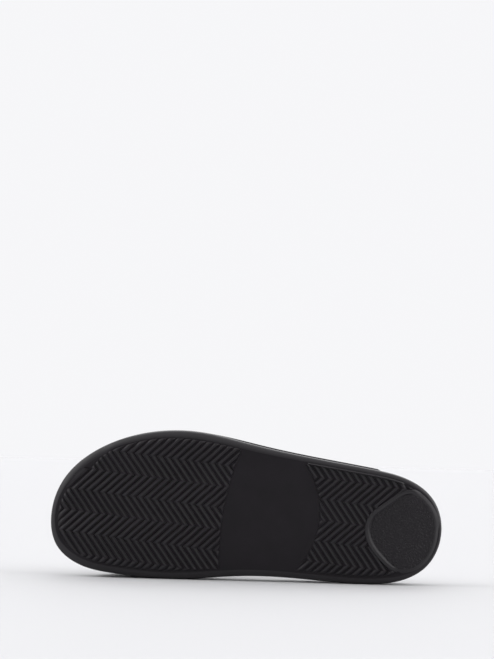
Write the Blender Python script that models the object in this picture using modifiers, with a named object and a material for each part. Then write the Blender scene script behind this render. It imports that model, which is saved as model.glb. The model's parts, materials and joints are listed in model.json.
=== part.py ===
"""Slide sandal for the left foot, lying on its inner side.

Shoe axes while modelling: +X runs from the toe tip to the heel, +Y to the inner side of the foot
and +Z up from the ground that the tread would stand on. The last section turns the whole sandal
onto its inner side, where the sole's edge and the strap both rest on the floor.
"""
import math

import bmesh
import bpy
import numpy as np
from mathutils import Matrix, Vector

MM = 0.001
GAP = 0.3 * MM

# Outline of the sole at its widest, with the distance from the toe tip and towards the inner side
OUTLINE = {
    "toe tip": (0.0, 19.0),
    "toe, outer corner": (8.0, -9.4),
    "little toe": (28.0, -30.3),
    "outer forefoot": (60.0, -46.5),
    "outer ball": (100.0, -52.6),
    "outer waist, front": (135.0, -49.5),
    "outer waist": (175.0, -46.4),
    "outer heel": (225.0, -44.2),
    "outer heel corner": (250.0, -41.0),
    "heel, outer side": (270.2, -29.9),
    "heel tip": (280.0, -4.0),
    "heel, inner side": (271.3, 20.7),
    "inner heel corner": (256.2, 31.6),
    "inner heel": (226.0, 38.6),
    "inner waist": (180.0, 41.3),
    "inner waist, front": (139.0, 45.9),
    "inner ball": (95.0, 54.4),
    "inner forefoot": (52.0, 56.9),
    "big toe": (26.0, 54.3),
    "toe, inner corner": (7.5, 43.4),
}
HALF_COUNT = 52

# Sole unit
BASE = 1.8 * MM
EDGE_WIDEST = 5.0 * MM
EDGE_LOWEST = 2.6 * MM
EDGE_SOFTNESS = 1.7
WALL_DRAFT = 1.6 * MM
LIP_RADIUS = 2.2 * MM
RIM_WIDTH = 6.2 * MM
FOREFOOT_HEIGHT = 22.0 * MM
HEEL_HEIGHT = 31.0 * MM
RISE_START = 90.0 * MM
RISE_END = 215.0 * MM
TOE_SPRING = 7.0 * MM
SPRING_START = 75.0 * MM
POCKET_DEPTH = 10.0 * MM

# Band that stands out on the outer side wall along the waist
BAND_PROUD = 0.9 * MM
BAND_LOW = 9.0 * MM
BAND_EDGE = 0.8 * MM
BAND_FADE_IN = (96.0 * MM, 140.0 * MM)
BAND_FADE_OUT = (228.0 * MM, 231.5 * MM)

# Tread: herringbone ridges, smooth arch, heel disc with its ring
MARGINS = {
    # side: length from the toe and how far the tread stays inside the outline there
    "outer": (
        (0, 3.3), (25, 4.0), (50, 4.8), (75, 5.1), (100, 5.7), (125, 5.0), (180, 3.8), (262, 3.1), (280, 2.2),
    ),
    "inner": (
        (0, 3.3), (25, 5.0), (45, 5.5), (80, 5.8), (125, 5.5), (185, 4.8), (245, 4.8), (262, 3.8), (280, 2.2),
    ),
}
MARGIN_GAP = 0.3 * MM
RIDGE_TOP = 2.2 * MM
RIDGE_BASE = 4.5 * MM
RIDGE_ROOT = 0.6 * MM
RIDGE_SPACING = 5.36 * MM
STROKE_SLOPE = math.tan(math.radians(41.6))
TREADS = {
    # zone: first and last ridge, row that points to the toe, distance between such rows, middle, lean, skew
    "forefoot": (-18.65 * MM, 130.0 * MM, -0.87 * MM, 30.7 * MM, 80.0 * MM, -0.0175, 0.021),
    "heel": (154.6 * MM, 262.0 * MM, 11.3 * MM, 30.0 * MM, 212.0 * MM, -0.014, -0.01),
}
ROWS_EACH_WAY = 5
ARCH_FRONT = {"centre": (339.0 * MM, 7.5 * MM), "radius": 215.9 * MM}
ARCH_BACK = {"centre": (123.5 * MM, -0.8 * MM), "radius": 68.0 * MM}
CIRCLE_SEGMENTS = 96

# Heel disc: the line at the foot of its ring, with the distance from the toe tip and towards the inner side
DISC_EDGE = {
    "front": (228.0, -3.0),
    "inner front": (231.9, 7.9),
    "inner side": (240.4, 16.3),
    "inner corner": (251.3, 22.8),
    "inner rear": (261.5, 22.0),
    "rear, inner": (269.5, 14.0),
    "rear": (274.0, -2.0),
    "rear, outer": (271.4, -17.5),
    "outer rear": (263.8, -27.5),
    "outer corner": (254.5, -31.3),
    "outer side": (246.0, -26.8),
    "outer front": (237.0, -18.5),
    "front, outer": (230.2, -11.0),
}
DISC_STEPS = 6
RING_WIDTH = 3.6 * MM
RING_DROP = 0.1 * MM
RING_GAP = 0.2 * MM
RING_OVERLAP = 1.0 * MM
BORDER_WIDTH = 1.5 * MM
BORDER_DROP = 0.2 * MM
BORDER_SPAN = (180.5 * MM, 250.0 * MM)

# Footbed
FOOTBED_INSET = RIM_WIDTH + GAP
FOOTBED_BELOW_RIM = 1.5 * MM
FOOTBED_ROUND = 1.5 * MM
DISH_HEEL = 5.0 * MM
DISH_FOREFOOT = 1.6 * MM
ARCH_RISE = 4.0 * MM
ARCH_PLACE = (165.0 * MM, 34.0 * MM)
ARCH_SPREAD = (38.0 * MM, 20.0 * MM)
FOOTBED_RINGS = (0.94, 0.78, 0.58, 0.36, 0.16)

# Strap: where its front and rear edges start, cross the instep and end
STRAP_EDGES = {
    # edge: place on the inner side, on the crown and on the outer side, height above the rim
    "front": (36.0 * MM, 56.0 * MM, 62.0 * MM, 44.0 * MM),
    "rear": (118.0 * MM, 128.0 * MM, 146.0 * MM, 60.0 * MM),
}
STRAP_WALL = 3.2 * MM
STRAP_INSET = 3.0 * MM
STRAP_TAB = 8.5 * MM
STRAP_SQUARENESS = 2.5
STRAP_BULGE_INNER = 6.2 * MM
STRAP_BULGE_OUTER = 1.0 * MM
CROWN_SHIFT = 5.0 * MM
STRAP_ARC_STEPS = 26
STRAP_WIDTH_STEPS = 8
STRAP_TAB_STEPS = 2
SLOT_STEPS = 12
SLOT_REACH = 8.0 * MM
SLOT_TOP = 4.0 * MM

SPINE = (50.0 * MM, 236.0 * MM)

FINISHES = {
    # finish: colour, roughness
    "moulded_rubber": ((0.016, 0.015, 0.017, 1.0), 0.55),
    "brushed_footbed": ((0.020, 0.019, 0.020, 1.0), 0.85),
    "coated_strap": ((0.014, 0.013, 0.015, 1.0), 0.48),
}


def clear_scene():
    """Removes every object of the open file."""
    for item in list(bpy.data.objects):
        bpy.data.objects.remove(item, do_unlink=True)


def new_collection(name):
    """Returns an empty collection linked to the scene."""
    collection = bpy.data.collections.new(name)
    bpy.context.scene.collection.children.link(collection)
    return collection


def make_finish(name):
    """Returns the Principled material of a finish."""
    colour, roughness = FINISHES[name]
    material = bpy.data.materials.new(name)
    material.use_nodes = True
    shader = material.node_tree.nodes["Principled BSDF"]
    shader.inputs["Base Color"].default_value = colour
    shader.inputs["Roughness"].default_value = roughness
    shader.inputs["Metallic"].default_value = 0.0
    return material


def add_object(name, form, collection):
    """Turns a bmesh into a named object with its faces pointing out."""
    bmesh.ops.recalc_face_normals(form, faces=form.faces)
    mesh = bpy.data.meshes.new(name)
    form.to_mesh(mesh)
    form.free()
    item = bpy.data.objects.new(name, mesh)
    collection.objects.link(item)
    return item


def smoothstep(value, span):
    """Rises from 0 to 1 across the span, level at both ends."""
    share = np.clip((value - span[0]) / (span[1] - span[0]), 0.0, 1.0)
    return share * share * (3.0 - 2.0 * share)


def closed_curve(knots, steps=48):
    """Points along the smooth closed cubic through the knots, which has an even curvature."""
    count = len(knots)
    after = np.linalg.norm(np.roll(knots, -1, axis=0) - knots, axis=1)
    before = np.roll(after, 1)
    system = np.zeros((count, count))
    pull = np.zeros((count, 2))
    for i in range(count):
        nxt = (i + 1) % count
        system[i, i - 1] = after[i]
        system[i, i] = 2.0 * (before[i] + after[i])
        system[i, nxt] = before[i]
        arriving = (knots[i] - knots[i - 1]) / before[i]
        leaving = (knots[nxt] - knots[i]) / after[i]
        pull[i] = 3.0 * (after[i] * arriving + before[i] * leaving)
    slopes = np.linalg.solve(system, pull)
    t = np.linspace(0.0, 1.0, steps, endpoint=False)[:, None]
    pieces = []
    for i in range(count):
        nxt = (i + 1) % count
        span = after[i]
        pieces.append(
            (1 + 2 * t) * (1 - t) ** 2 * knots[i] + t * (1 - t) ** 2 * span * slopes[i]
            + t * t * (3 - 2 * t) * knots[nxt] + t * t * (t - 1) * span * slopes[nxt]
        )
    return np.concatenate(pieces)


def even_points(path, count):
    """Points at even distances along an open path, both ends included."""
    steps = np.linalg.norm(np.diff(path, axis=0), axis=1)
    travel = np.concatenate([[0.0], np.cumsum(steps)])
    places = np.linspace(0.0, travel[-1], count + 1)
    return np.stack([np.interp(places, travel, path[:, axis]) for axis in (0, 1)], axis=1)


def sole_outline():
    """The outline from the toe tip along the outer side to the heel tip and back, and its inward normals."""
    dense = closed_curve(np.array(list(OUTLINE.values())) * MM)
    heel = int(np.argmax(dense[:, 0]))
    outer = even_points(dense[: heel + 1], HALF_COUNT)
    inner = even_points(np.concatenate([dense[heel:], dense[:1]]), HALF_COUNT)
    points = np.concatenate([outer[:-1], inner[:-1]])
    tangents = np.roll(points, -1, axis=0) - np.roll(points, 1, axis=0)
    tangents /= np.linalg.norm(tangents, axis=1)[:, None]
    inward = np.stack([-tangents[:, 1], tangents[:, 0]], axis=1)
    return points, inward


def tread_margin():
    """How far the tread stays inside the outline at each of its points."""
    tables = {side: np.array(table).T * MM for side, table in MARGINS.items()}
    x = EDGE[:, 0]
    outer = np.arange(len(EDGE)) < HALF_COUNT
    return np.where(outer, np.interp(x, *tables["outer"]), np.interp(x, *tables["inner"]))


EDGE, INWARD = sole_outline()
MARGIN = tread_margin()


def side_at(x, inner):
    """How far the outline reaches at the length x, on the inner or the outer side."""
    half = np.concatenate([EDGE[HALF_COUNT:], EDGE[:1]])[::-1] if inner else EDGE[: HALF_COUNT + 1]
    return np.interp(x, half[:, 0], half[:, 1])


def wall_top(x):
    """Height of the rim above the ground, before the toe is lifted."""
    return FOREFOOT_HEIGHT + (HEEL_HEIGHT - FOREFOOT_HEIGHT) * smoothstep(x, (RISE_START, RISE_END))


def toe_lift(x):
    """Toe spring: the lift grows with the square of the distance in front of its start."""
    share = np.clip((SPRING_START - x) / SPRING_START, 0.0, None)
    return TOE_SPRING * share * share


def side_band():
    """How far the band on the outer side wall stands out at each point of the outline."""
    x = EDGE[:, 0]
    outer = np.arange(len(EDGE)) < HALF_COUNT
    return BAND_PROUD * outer * smoothstep(x, BAND_FADE_IN) * (1.0 - smoothstep(x, BAND_FADE_OUT))


def ring(inset, height):
    """The outline moved inwards, at a height that is one number or one for each point."""
    flat = EDGE + INWARD * np.reshape(inset, (-1, 1))
    return np.column_stack([flat, np.broadcast_to(height, len(EDGE))])


def towards_spine(start, share, height):
    """A ring that shrinks from start to the spine of the foot as share goes from 1 to 0."""
    x = np.clip(start[:, 0], *SPINE)
    middle = np.column_stack([x, 0.5 * (side_at(x, True) + side_at(x, False))])
    flat = middle + share * (start[:, :2] - middle)
    return np.column_stack([flat, height(flat[:, 0], flat[:, 1])])


def loft(rings, ladder_start, ladder_end):
    """Skins closed rings in order; an end is closed across from side to side, or by one flat face."""
    form = bmesh.new()
    loops = [[form.verts.new(point) for point in points] for points in rings]
    count = len(loops[0])
    for low, high in zip(loops, loops[1:]):
        for i in range(count):
            nxt = (i + 1) % count
            form.faces.new((low[i], low[nxt], high[nxt], high[i]))
    for loop, ladder in ((loops[0], ladder_start), (loops[-1], ladder_end)):
        if not ladder:
            form.faces.new(loop)
            continue
        for i in range(count // 2):
            corners = dict.fromkeys((loop[i], loop[i + 1], loop[-i - 1], loop[-i]))
            form.faces.new(corners)
    return form


def prism(name, polygon, low, high, collection):
    """A flat outline raised from low to high."""
    form = bmesh.new()
    face = form.faces.new([form.verts.new((x, y, low)) for x, y in polygon])
    raised = bmesh.ops.extrude_face_region(form, geom=[face])["geom"]
    corners = [item for item in raised if isinstance(item, bmesh.types.BMVert)]
    bmesh.ops.translate(form, verts=corners, vec=(0.0, 0.0, high - low))
    return add_object(name, form, collection)


def post(name, centre, radius, low, high, collection):
    """An upright cylinder."""
    form = bmesh.new()
    place = Matrix.Translation((*centre, 0.5 * (low + high)))
    bmesh.ops.create_cone(
        form, cap_ends=True, segments=CIRCLE_SEGMENTS, radius1=radius, radius2=radius,
        depth=high - low, matrix=place,
    )
    return add_object(name, form, collection)


def as_cutter(item):
    """Marks an object as a construction form that isn't part of the sandal."""
    item.hide_render = True
    item.display_type = "WIRE"
    return item


def combine(target, tool, operation):
    """Adds an exact Boolean with a cutter to an object."""
    modifier = target.modifiers.new(f"{operation.lower()} {tool.name}", "BOOLEAN")
    modifier.operation = operation
    modifier.object = as_cutter(tool)
    modifier.solver = "EXACT"


def settle(item):
    """Makes the result of an object's modifiers its own mesh."""
    graph = bpy.context.evaluated_depsgraph_get()
    mesh = bpy.data.meshes.new_from_object(item.evaluated_get(graph))
    item.modifiers.clear()
    item.data = mesh


def lift_toe(item):
    """Bends a finished form up towards the toe."""
    form = bmesh.new()
    form.from_mesh(item.data)
    bmesh.ops.triangulate(form, faces=form.faces)
    for vert in form.verts:
        vert.co.z += float(toe_lift(vert.co.x))
    form.to_mesh(item.data)
    form.free()


def sole_body(collection):
    """The cup without its tread: rounded bottom edge, side wall with its band, rim and pocket."""
    top = wall_top(EDGE[:, 0])
    band = side_band()
    rings = []
    inset = np.minimum(MARGIN - MARGIN_GAP, EDGE_WIDEST)
    rise = np.maximum(inset, EDGE_LOWEST)
    for turn in np.radians((0.0, 30.0, 60.0, 90.0)):
        across, up = (abs(part) ** (2.0 / EDGE_SOFTNESS) for part in (math.sin(turn), math.cos(turn)))
        rings.append(ring(inset * (1 - across), BASE + rise * (1 - up)))
    rings.append(ring(0.0, BAND_LOW))
    rings.append(ring(-band, BAND_LOW + BAND_EDGE))
    for turn in np.radians((0.0, 45.0, 90.0)):
        inset = WALL_DRAFT + LIP_RADIUS * (1 - math.cos(turn)) - band
        rings.append(ring(inset, top - LIP_RADIUS * (1 - math.sin(turn))))
    rings.append(ring(RIM_WIDTH, top))
    rings.append(ring(RIM_WIDTH, top - POCKET_DEPTH))
    return add_object("sole", loft(rings, False, True), collection)


def ridge_rows(name, zone, collection):
    """Zigzag ridges of one tread zone, each with a narrow flat top and sloping flanks."""
    first, last, apex, period, middle, lean, skew = TREADS[zone]
    root = BASE + RIDGE_ROOT
    half_top = 0.5 * RIDGE_TOP
    half_root = half_top + 0.5 * (RIDGE_BASE - RIDGE_TOP) * root / BASE
    profile = ((-half_root, root), (-half_top, 0.0), (half_top, 0.0), (half_root, root))
    form = bmesh.new()
    for start in np.arange(first, last, RIDGE_SPACING):
        sections = []
        for row in range(-ROWS_EACH_WAY, ROWS_EACH_WAY + 1):
            across = 0.5 * row * period
            x = start + (row % 2) * 0.5 * period * STROKE_SLOPE + skew * across
            y = apex + across + lean * (x - middle)
            sections.append([form.verts.new((x + shift, y, z)) for shift, z in profile])
        for near, far in zip(sections, sections[1:]):
            for i in range(len(profile)):
                form.faces.new((near[i], near[i - 1], far[i - 1], far[i]))
        form.faces.new(sections[0])
        form.faces.new(sections[-1])
    return add_object(name, form, collection)


def inset_zone(name, inset, cutters):
    """A tall prism of the tread's margin moved inwards, which trims what belongs to the tread."""
    return prism(name, ring(MARGIN + inset, 0.0)[:, :2], -2 * BASE, 3 * BASE, cutters)


def disc_form(name, outset, low, high, cutters):
    """A prism of the heel disc's edge moved outwards."""
    line = closed_curve(np.array(list(DISC_EDGE.values())) * MM, DISC_STEPS)
    tangents = np.roll(line, -1, axis=0) - np.roll(line, 1, axis=0)
    tangents /= np.linalg.norm(tangents, axis=1)[:, None]
    outward = np.stack([-tangents[:, 1], tangents[:, 0]], axis=1)
    return prism(name, line + outset * outward, low, high, cutters)


def tread_forms(cutters):
    """The ridges of both zones, the heel disc's ring and the border beside the heel ridges."""
    low, high = -2 * BASE, 3 * BASE
    arch_front = post("arch_front", ARCH_FRONT["centre"], ARCH_FRONT["radius"], low, high, cutters)
    arch_back = post("arch_back", ARCH_BACK["centre"], ARCH_BACK["radius"], low, high, cutters)
    disc_room = disc_form("disc_room", RING_WIDTH - RING_OVERLAP, low, high, cutters)

    forefoot = ridge_rows("forefoot_ridges", "forefoot", cutters)
    combine(forefoot, inset_zone("forefoot_zone", 0.0, cutters), "INTERSECT")
    combine(forefoot, arch_front, "DIFFERENCE")

    heel = ridge_rows("heel_ridges", "heel", cutters)
    combine(heel, inset_zone("heel_zone", 0.5 * BORDER_WIDTH, cutters), "INTERSECT")
    combine(heel, arch_back, "DIFFERENCE")
    combine(heel, disc_room, "DIFFERENCE")

    heel_ring = disc_form("heel_ring", RING_WIDTH, RING_DROP, BASE + RIDGE_ROOT, cutters)
    combine(heel_ring, inset_zone("heel_ring_zone", RING_GAP, cutters), "INTERSECT")
    combine(heel_ring, disc_form("disc_hollow", 0.0, low, high, cutters), "DIFFERENCE")

    along = EDGE[:HALF_COUNT, 0]
    chosen = np.flatnonzero((along > BORDER_SPAN[0]) & (along < BORDER_SPAN[1]))
    near = ring(MARGIN, 0.0)[chosen, :2]
    far = ring(MARGIN + BORDER_WIDTH, 0.0)[chosen[::-1], :2]
    border = prism("heel_border", np.concatenate([near, far]), BORDER_DROP, BASE + RIDGE_ROOT, cutters)
    return border, heel_ring, heel, forefoot


def slot_cutter(inner, cutters):
    """The room for one end of the strap, open to the pocket and upwards."""
    column = 0 if inner else 2
    start = STRAP_EDGES["front"][column] - GAP
    stop = STRAP_EDGES["rear"][column] + GAP
    inwards = -1.0 if inner else 1.0
    form = bmesh.new()
    sections = []
    for x in np.linspace(start, stop, SLOT_STEPS):
        side = float(side_at(x, inner))
        near = side + inwards * (STRAP_INSET - GAP)
        far = side + inwards * SLOT_REACH
        low = float(wall_top(x)) - STRAP_TAB - GAP
        high = float(wall_top(x)) + SLOT_TOP
        corners = ((near, low), (far, low), (far, high), (near, high))
        sections.append([form.verts.new((x, y, z)) for y, z in corners])
    for front, back in zip(sections, sections[1:]):
        for i in range(len(front)):
            form.faces.new((front[i], front[i - 1], back[i - 1], back[i]))
    form.faces.new(sections[0])
    form.faces.new(sections[-1])
    return add_object("inner_slot" if inner else "outer_slot", form, cutters)


def make_sole(collection, cutters):
    """Sole unit with tread and strap slots, its toe lifted last."""
    sole = sole_body(collection)
    for form in tread_forms(cutters):
        combine(sole, form, "UNION")
    for inner in (True, False):
        combine(sole, slot_cutter(inner, cutters), "DIFFERENCE")
    settle(sole)
    lift_toe(sole)
    return sole


def footbed_top(x, y):
    """Upper surface: dished between its edges, deepest at the heel, with a rise under the inner arch."""
    middle = 0.5 * (side_at(x, True) + side_at(x, False))
    half = 0.5 * (side_at(x, True) - side_at(x, False)) - FOOTBED_INSET
    across = np.clip((y - middle) / half, -1.0, 1.0)
    deep = DISH_FOREFOOT + (DISH_HEEL - DISH_FOREFOOT) * smoothstep(x, (RISE_START, RISE_END))
    arch = ARCH_RISE * np.exp(
        -((x - ARCH_PLACE[0]) / ARCH_SPREAD[0]) ** 2 - ((y - ARCH_PLACE[1]) / ARCH_SPREAD[1]) ** 2
    )
    return wall_top(x) - FOOTBED_BELOW_RIM - deep * (1.0 - across * across) + arch


def make_footbed(collection):
    """Insole that fills the pocket of the sole."""
    x = EDGE[:, 0]
    bottom = ring(FOOTBED_INSET, wall_top(x) - POCKET_DEPTH + GAP)
    shoulder = ring(FOOTBED_INSET, wall_top(x) - FOOTBED_BELOW_RIM - FOOTBED_ROUND)
    brow = ring(FOOTBED_INSET + FOOTBED_ROUND, 0.0)
    brow[:, 2] = footbed_top(brow[:, 0], brow[:, 1])
    rings = [bottom, shoulder, brow]
    rings += [towards_spine(brow, share, footbed_top) for share in FOOTBED_RINGS]
    footbed = add_object("footbed", loft(rings, True, True), collection)
    lift_toe(footbed)
    return footbed


def strap_point(turn, across):
    """A point of the strap's outer face: turn runs from 0 inside to pi outside, across from front to rear."""
    share = turn / math.pi
    front, rear = STRAP_EDGES["front"], STRAP_EDGES["rear"]
    inner_x, crown_x, outer_x, height = (a + across * (b - a) for a, b in zip(front, rear))
    x = (
        inner_x * (1 - share) * (1 - 2 * share) + crown_x * 4 * share * (1 - share)
        + outer_x * share * (2 * share - 1)
    )
    inner = float(side_at(inner_x, True)) - STRAP_INSET
    outer = float(side_at(outer_x, False)) + STRAP_INSET
    power = 2.0 / STRAP_SQUARENESS
    lean = math.cos(turn)
    rise = max(math.sin(turn), 0.0) ** power
    reach = math.copysign(abs(lean) ** power, lean)
    bulge = STRAP_BULGE_INNER if lean > 0.0 else -STRAP_BULGE_OUTER
    y = 0.5 * (inner + outer) + 0.5 * (inner - outer) * reach + CROWN_SHIFT * rise ** 3
    y += bulge * math.sin(math.pi * rise)
    return x, y, float(wall_top(x)) + height * rise


def make_strap(collection):
    """Upper: an open sheet over the foot with an end on each side, given its wall thickness inwards."""
    form = bmesh.new()
    rows = []
    turns = 0.5 * math.pi * (1 - np.cos(np.linspace(0.0, math.pi, STRAP_ARC_STEPS + 1)))
    for across in np.linspace(0.0, 1.0, STRAP_WIDTH_STEPS + 1):
        row = [strap_point(turn, across) for turn in turns]
        inner_end, outer_end = row[0], row[-1]
        for step in range(1, STRAP_TAB_STEPS + 1):
            drop = STRAP_TAB * step / STRAP_TAB_STEPS
            row.insert(0, (inner_end[0], inner_end[1], inner_end[2] - drop))
            row.append((outer_end[0], outer_end[1], outer_end[2] - drop))
        rows.append([form.verts.new((x, y, z + float(toe_lift(x)))) for x, y, z in row])
    for front, rear in zip(rows, rows[1:]):
        for i in range(len(front) - 1):
            form.faces.new((front[i], front[i + 1], rear[i + 1], rear[i]))
    strap = add_object("strap", form, collection)
    wall = strap.modifiers.new("wall", "SOLIDIFY")
    wall.thickness = STRAP_WALL
    wall.offset = -1.0
    wall.use_even_offset = True
    settle(strap)
    return strap


def lay_down(parts, collection):
    """Turns the sandal onto the flat that its inner side rests on, with its box centred over the origin."""
    hull = bmesh.new()
    for part in parts:
        hull.from_mesh(part.data)
    bmesh.ops.convex_hull(hull, input=hull.verts)
    rest = max(hull.faces, key=lambda face: face.calc_area() * max(face.normal.y, 0.0) ** 8)
    up = -rest.normal.copy()
    hull.free()
    along = Vector((1.0, 0.0, 0.0))
    along = (along - along.dot(up) * up).normalized()
    turn = Matrix((along, up.cross(along), up))
    corners = np.array([turn @ vert.co for part in parts for vert in part.data.vertices])
    low, high = corners.min(axis=0), corners.max(axis=0)
    root = bpy.data.objects.new("sandal_root", None)
    root.rotation_euler = turn.to_euler()
    root.location = (-0.5 * (low[0] + high[0]), -0.5 * (low[1] + high[1]), -low[2])
    collection.objects.link(root)
    for part in parts:
        part.parent = root
    return root


def dress(item, finish):
    """Gives an object its material and smooth shading with crisp edges."""
    item.data.materials.clear()
    item.data.materials.append(make_finish(finish))
    item.data.shade_smooth()
    item.data.set_sharp_from_angle(angle=math.radians(35.0))


def main():
    """Builds the three pieces and lays the sandal on the floor."""
    clear_scene()
    collection = new_collection("slide_sandal")
    cutters = new_collection("cutters")
    sole = make_sole(collection, cutters)
    footbed = make_footbed(collection)
    strap = make_strap(collection)
    dress(sole, "moulded_rubber")
    dress(footbed, "brushed_footbed")
    dress(strap, "coated_strap")
    lay_down((sole, footbed, strap), collection)
    bpy.context.view_layer.update()


main()
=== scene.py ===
"""Looks of a left slide sandal that lies on its inner side and shows its sole.

Shapes are worked out in shoe axes, in millimetres: s runs from the toe tip to the heel, w towards the
inner side of the foot, and h up from the ground that the tread would stand on. One placement, read
from the frame's record, lays every point into the world in metres.
"""
import json
import logging
import math
from collections.abc import Callable
from dataclasses import dataclass, field
from enum import Enum

import bpy
import numpy as np
from mathutils import Matrix, Vector

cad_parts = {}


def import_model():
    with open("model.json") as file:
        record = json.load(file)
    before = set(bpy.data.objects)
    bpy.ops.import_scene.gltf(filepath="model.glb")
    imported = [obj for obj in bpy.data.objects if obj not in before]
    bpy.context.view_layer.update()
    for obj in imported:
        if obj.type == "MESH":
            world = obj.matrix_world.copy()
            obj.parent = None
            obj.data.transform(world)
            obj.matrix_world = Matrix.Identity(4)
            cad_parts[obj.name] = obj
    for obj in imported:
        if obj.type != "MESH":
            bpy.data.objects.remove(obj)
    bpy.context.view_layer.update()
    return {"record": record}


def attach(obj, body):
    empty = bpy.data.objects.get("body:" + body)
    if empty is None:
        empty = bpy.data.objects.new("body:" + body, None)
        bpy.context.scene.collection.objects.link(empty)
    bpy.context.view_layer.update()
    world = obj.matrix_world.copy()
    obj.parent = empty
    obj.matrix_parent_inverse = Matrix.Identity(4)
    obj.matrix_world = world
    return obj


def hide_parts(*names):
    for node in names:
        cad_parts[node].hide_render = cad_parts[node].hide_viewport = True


Array = np.ndarray
Pair = tuple[float, float]
Triple = tuple[float, float, float]
Quad = tuple[float, float, float, float]
Room = Callable[[Array, Array], Array]
Row = tuple[Array, Array]
Socket = bpy.types.NodeSocket
Material = bpy.types.Material

LOG = logging.getLogger("slide_sandal")
MM = 0.001
BODY = "root"
ARCH_MOUNT = "arch_face"
ARCH_PLACE = (150.0, -3.0, 1.8)
QUARTER_TURN = 0.5 * math.pi
# Sockets of a Mix node for colours: its share and two colours, and its result
MIX_INPUTS = (0, 6, 7)
MIX_OUTPUT = 2


class Side(Enum):
    """The two long sides of a sole."""

    OUTER = "outer"
    INNER = "inner"


class Slot(Enum):
    """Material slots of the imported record."""

    RUBBER = "moulded_rubber"
    FOOTBED = "brushed_footbed"
    STRAP = "coated_strap"


class Solid(Enum):
    """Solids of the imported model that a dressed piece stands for."""

    SOLE = "sole"
    FOOTBED = "footbed"
    STRAP = "strap"


def smoothstep(value: Array, low: float, high: float) -> Array:
    """Rises from 0 at low to 1 at high as 3t^2 - 2t^3, level at both ends."""
    share = np.clip((value - low) / (high - low), 0.0, 1.0)
    return share * share * (3.0 - 2.0 * share)


def closed_curve(knots: Array, steps: int) -> Array:
    """The closed cubic through the knots whose slope and bend run on without a break.

    At each knot the slopes m solve after*m[i-1] + 2*(before+after)*m[i] + before*m[i+1] =
    3*(after*arriving + before*leaving), where before and after are the lengths of the two chords, and
    arriving and leaving their directions. Each span is then a cubic between two knots and two slopes.

    Args:
        knots: Points in order, one row each.
        steps: How many points each span gets.

    Returns:
        Points along the whole curve, from the first knot round to just before it.
    """
    count = len(knots)
    after = np.linalg.norm(np.roll(knots, -1, axis=0) - knots, axis=1)
    before = np.roll(after, 1)
    chords = (np.roll(knots, -1, axis=0) - knots) / after[:, None]
    row = np.arange(count)
    system = np.zeros((count, count))
    system[row, row - 1] = after
    system[row, row] = 2.0 * (before + after)
    system[row, (row + 1) % count] = before
    pull = 3.0 * (after[:, None] * np.roll(chords, 1, axis=0) + before[:, None] * chords)
    slopes = np.linalg.solve(system, pull)
    t = np.linspace(0.0, 1.0, steps, endpoint=False)[None, :, None]
    start, stop = knots[:, None], np.roll(knots, -1, axis=0)[:, None]
    leave = slopes[:, None] * after[:, None, None]
    arrive = np.roll(slopes, -1, axis=0)[:, None] * after[:, None, None]
    curve = (1 + 2 * t) * (1 - t) ** 2 * start + t * (1 - t) ** 2 * leave
    curve = curve + t * t * (3 - 2 * t) * stop + t * t * (t - 1) * arrive
    return curve.reshape(-1, knots.shape[1])


def travel_along(path: Array) -> Array:
    """Distance from the start of an open path to each of its points, along its chords."""
    return np.concatenate([[0.0], np.cumsum(np.linalg.norm(np.diff(path, axis=0), axis=1))])


def even_points(path: Array, count: int) -> Array:
    """Points in the middle of equal stretches of an open path.

    Args:
        path: Points along the path.
        count: How many stretches it is cut into.

    Returns:
        One point for each stretch.
    """
    travel = travel_along(path)
    places = (np.arange(count) + 0.5) / count * travel[-1]
    return np.stack([np.interp(places, travel, column) for column in path.T], axis=1)


def square_to(line: Array) -> Array:
    """Unit directions square to a closed line: the chord between two neighbours, turned to its left.

    Args:
        line: Points in order, as rows of s and w.

    Returns:
        One direction for each point.
    """
    chord = np.roll(line, -1, axis=0) - np.roll(line, 1, axis=0)
    chord /= np.linalg.norm(chord, axis=1)[:, None]
    return np.stack([-chord[:, 1], chord[:, 0]], axis=1)


def at_height(flat: Array, height: Array | float) -> Array:
    """Gives points of s and w their heights: one number, or an array that spreads over the grid."""
    return np.concatenate([flat, np.broadcast_to(height, flat.shape[:-1])[..., None]], axis=-1)


def outside(s: Array, w: Array, circle: Triple) -> Array:
    """How far points lie outside a circle, given by the s and w of its middle and its radius."""
    return np.hypot(s - circle[0], w - circle[1]) - circle[2]


def ladder(loop: Array) -> Array:
    """Quads across a closed loop of an even count, from each point to the one opposite.

    Args:
        loop: Point numbers around the loop; number i faces number count - 1 - i.

    Returns:
        One row of four point numbers for each rung.
    """
    back = loop[::-1]
    half = len(loop) // 2
    return np.stack([loop[: half - 1], loop[1:half], back[1:half], back[: half - 1]], axis=1)


def rotation(angle: float, axis: int) -> Array:
    """The turn by an angle about one axis: cosines on the other two, its sine and minus its sine across.

    Args:
        angle: The angle in radians.
        axis: 0 for X, 1 for Y, 2 for Z.

    Returns:
        The turn as a matrix of three by three.
    """
    first, second = (axis + 1) % 3, (axis + 2) % 3
    matrix = np.eye(3)
    matrix[first, first] = matrix[second, second] = math.cos(angle)
    matrix[second, first] = math.sin(angle)
    matrix[first, second] = -math.sin(angle)
    return matrix


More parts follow.
